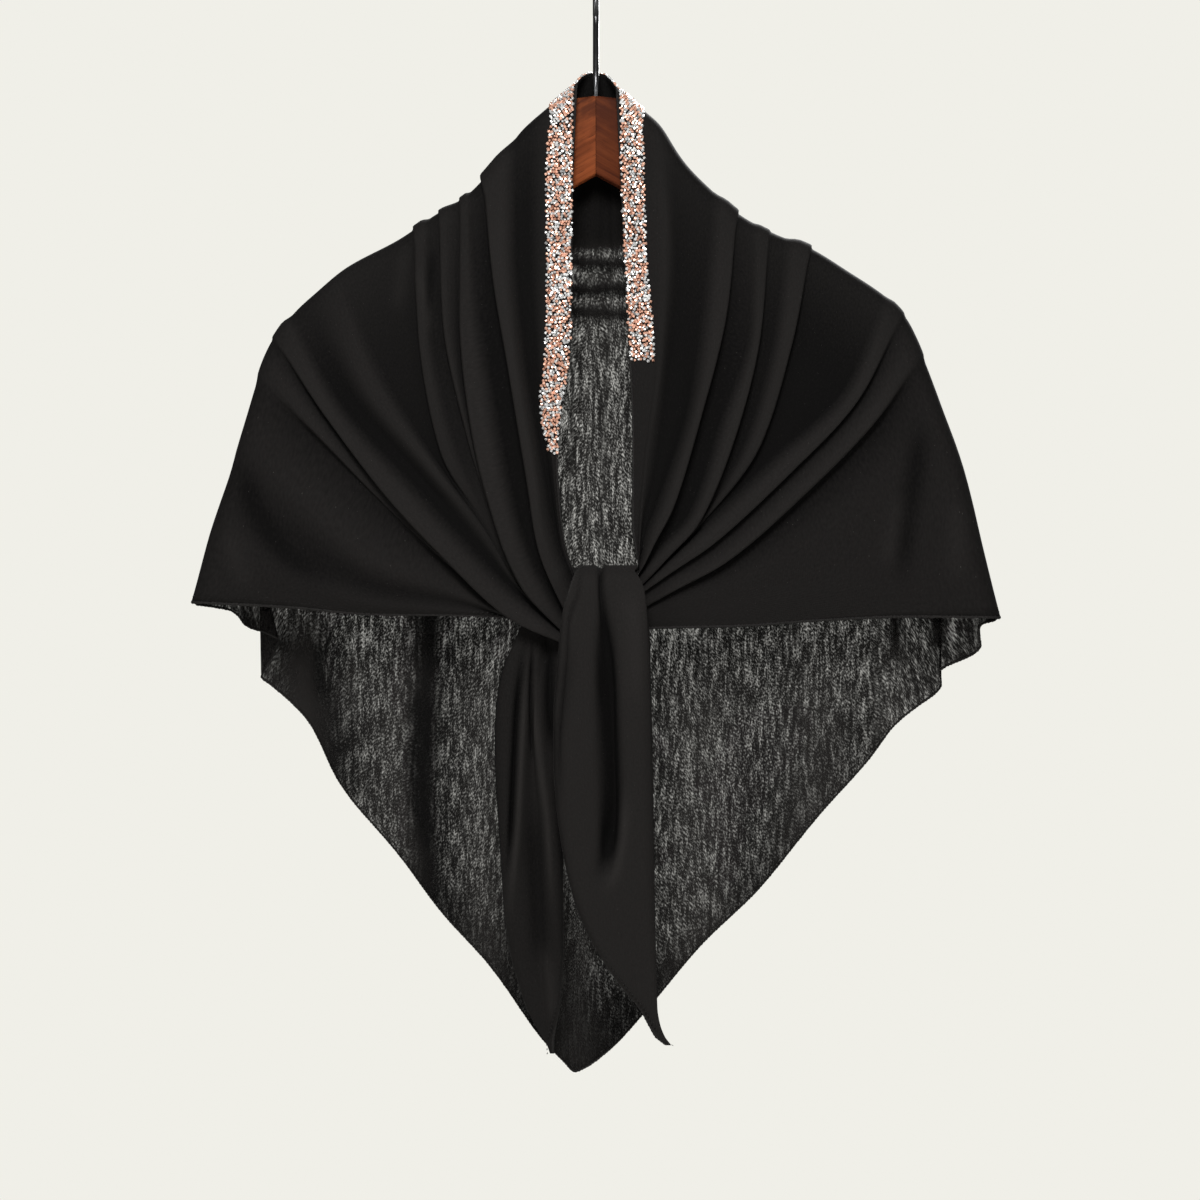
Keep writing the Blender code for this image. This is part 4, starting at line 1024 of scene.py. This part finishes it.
crystals = dict(
    left=[(-66, -36, -13), (-82, -36, -14), (-88, -35, -16), (-93.5, -33.8, -17.6), (-150, -36.2, -17.6),
          (-197, -35.3, -16.3), (-262, -36.6, -18.2), (-279.6, -37.2, -19.6), (-292.7, -39, -21),
          (-306, -40.6, -23), (-324, -40, -24.8), (-335, -36.6, -26.4), (-345.5, -34.4, -27.4)],
    right=[(-66, 13, 34), (-82, 14.5, 34), (-88, 17, 33.5), (-93.5, 18.3, 33.5), (-116, 18.3, 34.6),
           (-150, 19.2, 35.2), (-197, 19.8, 36.6), (-233, 22.6, 39.6), (-262, 23.4, 42),
           (-276.8, 23.8, 42.2)],
    size=2.35, sizes=(0.84, 1.12), sides=6,
    pitch=2.22, rowPitch=0.87,         # mm between stones; pitches between rows
    patchGap=0.4,                      # pitches between the patch over the turn and the rows below
    proud=0.9, prouder=(-0.15, 0.25), tilt=0.16,
    overTop=0.05, overColumns=(0.12, 1, 10), overRows=16,      # how far the patch over the turn reaches
    neckReach=0.028, neckRows=10, neckColumns=12,
    behind=2.0,                        # mm behind the hanger's plane that no stone of a front lies past
    across=0.32, along=0.4, onPatch=0.3,           # how far stones stray from their rows, mm
    # dark and light: the ends of the stones' painted glints and reflections
    clear=dict(name="clearStone", dark=(0.17, 0.17, 0.17), light=(1.0, 1.0, 0.98)),
    rose=dict(name="roseStone", dark=(0.30, 0.13, 0.08), light=(1.0, 0.60, 0.44)),
    # mixed: how rose and clear stones mingle; the rest set how far each stone and facet is painted light,
    # as painted glints and reflections
    mixed=0.17, brightness=(1.6, 1.0), stoneLight=0.6, faceLight=(-0.15, 0.55),
    seed=7,
)


def gem():
    # A round stone: a flat table, a crown of six faces and a short wall down to its setting
    sides = crystals["sides"]
    points = []
    for radius, height in ((0.30, 0.52), (0.5, 0.22), (0.46, -0.2)):           # of its size
        for k in range(sides):
            angle = 2 * math.pi * k / sides
            points.append((radius * math.cos(angle), radius * math.sin(angle), height))
    faces = [tuple(range(sides))]
    for start in (0, sides):
        for k in range(sides):
            m = (k + 1) % sides
            faces.append((start + k, start + sides + k, start + sides + m, start + m))
    faces.append(tuple(range(3 * sides - 1, 2 * sides - 1, -1)))
    return np.array(points), faces


def patchSpots(grid, towards, draw):
    # Stones in rows over a patch of cloth
    facing = facingOf(grid, towards)
    depth = np.concatenate([[0], np.cumsum(lengths(np.diff(grid, axis=1)).mean(axis=0))])
    pitch = crystals["pitch"]
    spots = []
    for row, at in enumerate(np.arange(pitch / 2, depth[-1], pitch * crystals["rowPitch"])):
        j = min(int(np.interp(at, depth, np.arange(len(depth)))), len(depth) - 2)
        f = (at - depth[j]) / (depth[j + 1] - depth[j])
        line = grid[:, j] * (1 - f) + grid[:, j + 1] * f
        arc = arcOf(line)
        count = max(1, round(arc[-1] / pitch))
        for n in range(count + row % 2):
            place = (n + 0.5 * ((row + 1) % 2)) * arc[-1] / count + draw.gauss(0, crystals["onPatch"])
            i = int(np.interp(place, arc, np.arange(len(arc))))
            spots.append((Vector(pointsAt(place, arc, line)) * mm, Vector(facing[i, j])))
    return spots


def bandSpots(key, patch, draw):
    # Stones as seen from the front, in rows below a patch that lies over the turn
    endX, endZ = seen(patch[:, -1])
    order = np.argsort(endX)
    table = np.array(crystals[key], float)
    pitch = crystals["pitch"]
    z, row = table[0, 0], 0
    spots = []
    while z > table[-1, 0]:
        left, right = spline(-table[:, 0], table[:, 1:], np.array([-z]))[0]
        count = max(1, round((right - left) / pitch))
        for k in range(count + row % 2):
            x = left + (k + 0.5 * ((row + 1) % 2)) * (right - left) / count
            if z < np.interp(x, endX[order], endZ[order]) - pitch * crystals["patchGap"]:
                spots.append((x + draw.gauss(0, crystals["across"]), z + draw.gauss(0, crystals["along"])))
        z -= pitch * crystals["rowPitch"]
        row += 1
    return spots


def neckPatch():
    # Round the back of the neck the band hangs from the collar's edge
    tops = []
    for front in (leftFront, rightFront):
        edge, band = front["lines"][:2]
        tops.append(topOf(front, np.linspace(edge[1], band[1], crystals["neckColumns"])))
    return backGrid(backTops(tops), np.linspace(0.0, crystals["neckReach"], crystals["neckRows"]))[0]


def roseShare(point):
    # Clear and rose stones lie in loose patches
    x, z = point[0] / mm, point[2] / mm
    return 0.5 + 0.25 * math.sin(x * 0.9 + 1.7 * math.sin(z * 0.31)) * math.sin(z * 0.55 + x * 0.4)


def makeCrystals():
    draw = random.Random(crystals["seed"])
    tree = clothTree(shawlPiece)
    found, spots = [], []
    for key, front in (("left", leftFront), ("right", rightFront)):
        alongAt = np.linspace(0, crystals["overTop"], crystals["overRows"])
        patch = frontGrid(front, np.linspace(*crystals["overColumns"]), alongAt)[0]
        found += patchSpots(patch, (0, -1, 0), draw)
        spots += bandSpots(key, patch, draw)
    for x, z in spots:
        hit, normal = seenOn(tree, x, z)
        if hit is not None and hit.y < crystals["behind"] * mm:
            found.append((hit, normal))
    found += patchSpots(neckPatch(), (0, 1, 0), draw)
    base, faces = gem()
    kinds = {"clear": ([], [], []), "rose": ([], [], [])}
    for hit, normal in found:
        kind = "rose" if roseShare(hit) + draw.gauss(0, crystals["mixed"]) > 0.5 else "clear"
        points, polygons, sparks = kinds[kind]
        size = crystals["size"] * draw.uniform(*crystals["sizes"])
        tilt = Vector([draw.gauss(0, crystals["tilt"]) for k in range(3)])
        up = (normal + tilt).normalized()
        side = up.cross(Vector([draw.uniform(-1, 1) for k in range(3)])).normalized()
        turn = np.array([side, up.cross(side), up])
        high = crystals["proud"] + draw.uniform(*crystals["prouder"])
        offset = len(points)
        points.extend((base * size) @ turn + np.array(hit) / mm + np.array(normal) * high)
        polygons.extend(tuple(v + offset for v in face) for face in faces)
        # painted glints and reflections, one for each facet
        bright = draw.betavariate(*crystals["brightness"]) * crystals["stoneLight"]
        for face in faces:
            sparks.append(min(1.0, max(0.0, bright + draw.uniform(*crystals["faceLight"]))))
    for kind, (points, polygons, sparks) in kinds.items():
        mesh = meshOf(kind + "Crystals", points, polygons)
        shade = mesh.attributes.new("spark", "FLOAT", "FACE")
        shade.data.foreach_set("value", np.array(sparks, np.float32))
        made = objectOf(mesh, stoneFinish(**crystals[kind]))
        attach(made, body)
        if kind == "clear":
            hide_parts("band_left", "band_right", "band_neck")
    print("crystals made:", len(found))


makeCrystals()


# The hanger

hanger = dict(
    thick=13.0, top=-84.6, topSlope=0.12, apex=-142.0, pitch=0.555,
    clear=1.6, shown=(10.0, 34.0),     # under the cloth, and from where to where it comes close to it
    mitre=0.15, stations=(8.0, 16.0, 24.0, *range(34, 211, 8), 214.0, 217.0),
    reach=219.0, blunt=12.0,           # how far out they would be half as thick, over how much
    round=2.6, roundSteps=4, corner=50.0, sharp=40.0,
)
hook = dict(
    wire=4.5, sides=20, sharp=50.0,
    stem=[(0.0, 8.0), (0.5, 15.0), (4.5, 22.0)],           # back, and above the arms' top
    inside=20.0, bend=(-38.0, 205.0), bendSteps=33,
)


def opened(name):
    # The primitive just added, on its own and ready to be modelled
    made = bpy.context.object
    made.name = name
    for other in bpy.context.selected_objects:
        other.select_set(False)
    made.select_set(True)
    bpy.context.view_layer.objects.active = made
    bpy.ops.object.transform_apply(location=True, rotation=True, scale=True)
    bpy.ops.object.mode_set(mode="EDIT")
    return made, bmesh.from_edit_mesh(made.data)


squarely = 0.9                         # how squarely a face looks in a direction, to be chosen
lengthwise = 0.3                       # an edge runs along the arm if x exceeds y and this much of z


def chooseFaces(shape, wanted):
    bpy.ops.mesh.select_all(action="DESELECT")
    shape.normal_update()
    for face in shape.faces:
        if wanted(face):
            face.select_set(True)


def extruded(made, step):
    # Draws the chosen faces out, and gives the mesh and their vertices
    bpy.ops.mesh.extrude_region_move(TRANSFORM_OT_translate={"value": step})
    shape = bmesh.from_edit_mesh(made.data)
    return shape, [v for v in shape.verts if v.select]


def finished(made, finish, sharp, slot, node):
    bpy.ops.object.mode_set(mode="OBJECT")
    made.data.shade_smooth()
    made.data.set_sharp_from_angle(angle=math.radians(sharp))
    made.data.materials.append(finish)
    return fitted(made, slot, node)


def armSection(front, out):
    # The arm's upper and lower edges: plain where it shows, then close under the cloth
    line = turnAt(front, np.array([out - 0.5, out, out + 0.5]))[:, 0]
    under = line[1] - hanger["clear"] * math.hypot(1, line[2] - line[0])
    neck = hanger["top"] - hanger["topSlope"] * out
    start, end = hanger["shown"]
    f = float(ease((out - start) / (end - start)))
    high = under if out > end else neck * (1 - f) + min(neck, under) * f
    return high, hanger["apex"] - hanger["pitch"] * out


def makeArm(front, name, node):
    sign, stations = front["sign"], hanger["stations"]
    high, low = armSection(front, 0.0)
    middle = stations[0] / 2
    bpy.ops.mesh.primitive_cube_add(size=1, location=(sign * middle * mm, 0, (high + low) / 2 * mm),
                                    scale=(stations[0] * mm, hanger["thick"] * mm, (high - low) * mm))
    arm, shape = opened(name)
    for v in shape.verts:
        out = hanger["mitre"] if v.co.x * sign < middle * mm else stations[0]
        top, bottom = armSection(front, out)
        v.co.x = sign * out * mm
        v.co.z = (top if v.co.z > (high + low) / 2 * mm else bottom) * mm
    chooseFaces(shape, lambda face: face.normal.x * sign > squarely)
    for out, ahead in zip(stations, stations[1:]):
        top, bottom = armSection(front, out)
        farTop, farBottom = armSection(front, ahead)
        far = (farTop + farBottom) / 2
        past = max(ahead - hanger["reach"] + hanger["blunt"], 0.0) / hanger["blunt"]
        blunt = (1 + math.sqrt(max(1 - past * past, 0.0))) / 2
        step = (sign * (ahead - out) * mm, 0, (far - (top + bottom) / 2) * mm)
        shape, chosen = extruded(arm, step)
        for v in chosen:
            v.co.z = far * mm + math.copysign((farTop - farBottom) / 2 * blunt * mm, v.co.z - far * mm)
            v.co.y = math.copysign(hanger["thick"] / 2 * blunt * mm, v.co.y)
    bpy.ops.mesh.select_all(action="DESELECT")
    for edge in shape.edges:
        run = edge.verts[1].co - edge.verts[0].co
        steep = edge.calc_face_angle(0.0) > math.radians(hanger["corner"])
        edge.select_set(steep and abs(run.x) > abs(run.y) + abs(run.z) * lengthwise)
    bmesh.update_edit_mesh(arm.data)
    bpy.ops.mesh.bevel(offset=hanger["round"] * mm, segments=hanger["roundSteps"], profile=0.5)
    return finished(arm, woodFinish(name.replace("arm", ""), sign), hanger["sharp"], "wood", node)


def makeHook():
    radius = hook["wire"] / 2
    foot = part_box("hanger_hook")[0].z / mm
    rise = hook["stem"][0][1]
    bpy.ops.mesh.primitive_cylinder_add(vertices=hook["sides"], radius=radius * mm, depth=rise * mm,
                                        location=(0, 0, (foot + rise / 2) * mm))
    wire, shape = opened("hookWire")
    bend = hook["inside"] + radius
    path = [(y, hanger["top"] + height) for y, height in hook["stem"]]
    for angle in np.radians(np.linspace(*hook["bend"], hook["bendSteps"])):
        path.append((bend * math.cos(angle), -hook["inside"] + bend * math.sin(angle)))
    path = np.array(path)
    chooseFaces(shape, lambda face: face.normal.z > squarely)
    heading = math.pi / 2
    for k in range(1, len(path)):
        step = path[k] - path[k - 1]
        ahead = path[min(k + 1, len(path) - 1)] - path[k - 1]
        turned = math.atan2(ahead[1], ahead[0])
        swing = (turned - heading + math.pi) % (2 * math.pi) - math.pi
        c, s = math.cos(swing), math.sin(swing)
        for v in extruded(wire, (0, step[0] * mm, step[1] * mm))[1]:
            y, z = v.co.y - path[k][0] * mm, v.co.z - path[k][1] * mm
            v.co.y = path[k][0] * mm + y * c - z * s
            v.co.z = path[k][1] * mm + y * s + z * c
        heading = turned
    bmesh.update_edit_mesh(wire.data)
    return finished(wire, wireFinish(), hook["sharp"], "metal", "hanger_hook")


makeArm(leftFront, "armLeft", "hanger_arm_left")
makeArm(rightFront, "armRight", "hanger_arm_right")
makeHook()
print("hanger made")


# Light, floor and camera

studio = dict(
    paper=(0.871, 0.863, 0.807), ambient=0.14, aim=(0, 0, -0.42),
    lights=[("key", (-0.12, -1.55, 0.75), 0.7, 38.0),      # place, size, power
            ("left", (-1.7, -1.6, 0.0), 0.8, 8.0),
            ("right", (1.7, -1.6, 0.0), 0.8, 8.0),
            ("behind", (0.5, 1.7, 0.7), 0.9, 62.0),
            ("under", (0.0, 0.0, -0.95), 5.0, 60.0)],
    floor=-1.75, floorRadius=3.0, floorPaper=(0.80, 0.79, 0.76),
)


def makeWorld():
    # The camera sees plain paper, and the cloth is lit by a weaker white
    world = bpy.data.worlds.new("paper")
    bpy.context.scene.world = world
    world.use_nodes = True
    nodes, links = world.node_tree.nodes, world.node_tree.links
    nodes.clear()
    mix = nodes.new("ShaderNodeMixShader")
    links.new(nodes.new("ShaderNodeLightPath").outputs["Is Camera Ray"], mix.inputs[0])
    for place, shade, strength in ((1, (1, 1, 1), studio["ambient"]), (2, studio["paper"], 1.0)):
        each = nodes.new("ShaderNodeBackground")
        each.inputs["Color"].default_value = rgba(shade)
        each.inputs["Strength"].default_value = strength
        links.new(each.outputs[0], mix.inputs[place])
    links.new(mix.outputs[0], nodes.new("ShaderNodeOutputWorld").inputs[0])


def makeLights():
    for name, place, size, power in studio["lights"]:
        data = bpy.data.lights.new(name, "AREA")
        data.size = size
        data.energy = power
        lamp = bpy.data.objects.new(name, data)
        lamp.location = place
        if name != "under":            # that one lights the floor alone, and faces straight down
            way = Vector(studio["aim"]) - Vector(place)
            lamp.rotation_euler = way.to_track_quat("-Z", "Y").to_euler()
        lamp.visible_camera = False
        bpy.context.scene.collection.objects.link(lamp)


def makeFloor():
    bpy.ops.mesh.primitive_circle_add(vertices=96, radius=studio["floorRadius"], fill_type="NGON",
                                      location=(0, 0, studio["floor"]))
    floor = bpy.context.object
    floor.name = "floor"
    paper = Finish("floorPaper", roughness=0.9, specular=0.2)
    paper.show("Base Color", rgba(studio["floorPaper"]))
    floor.data.materials.append(paper.made)


def makeCamera():
    data = bpy.data.cameras.new("camera")
    data.sensor_width = 36.0
    data.lens = data.sensor_width * eye["distance"] / eye["width"]
    data.clip_end = 20.0
    camera = bpy.data.objects.new("camera", data)
    camera.location = (eye["x"] * mm, -eye["distance"] * mm, eye["z"] * mm)
    camera.rotation_euler = (math.pi / 2, 0, 0)
    bpy.context.scene.collection.objects.link(camera)
    bpy.context.scene.camera = camera
    bpy.context.scene.view_settings.view_transform = "Standard"


makeWorld()
makeLights()
makeFloor()
makeCamera()
print("studio made")
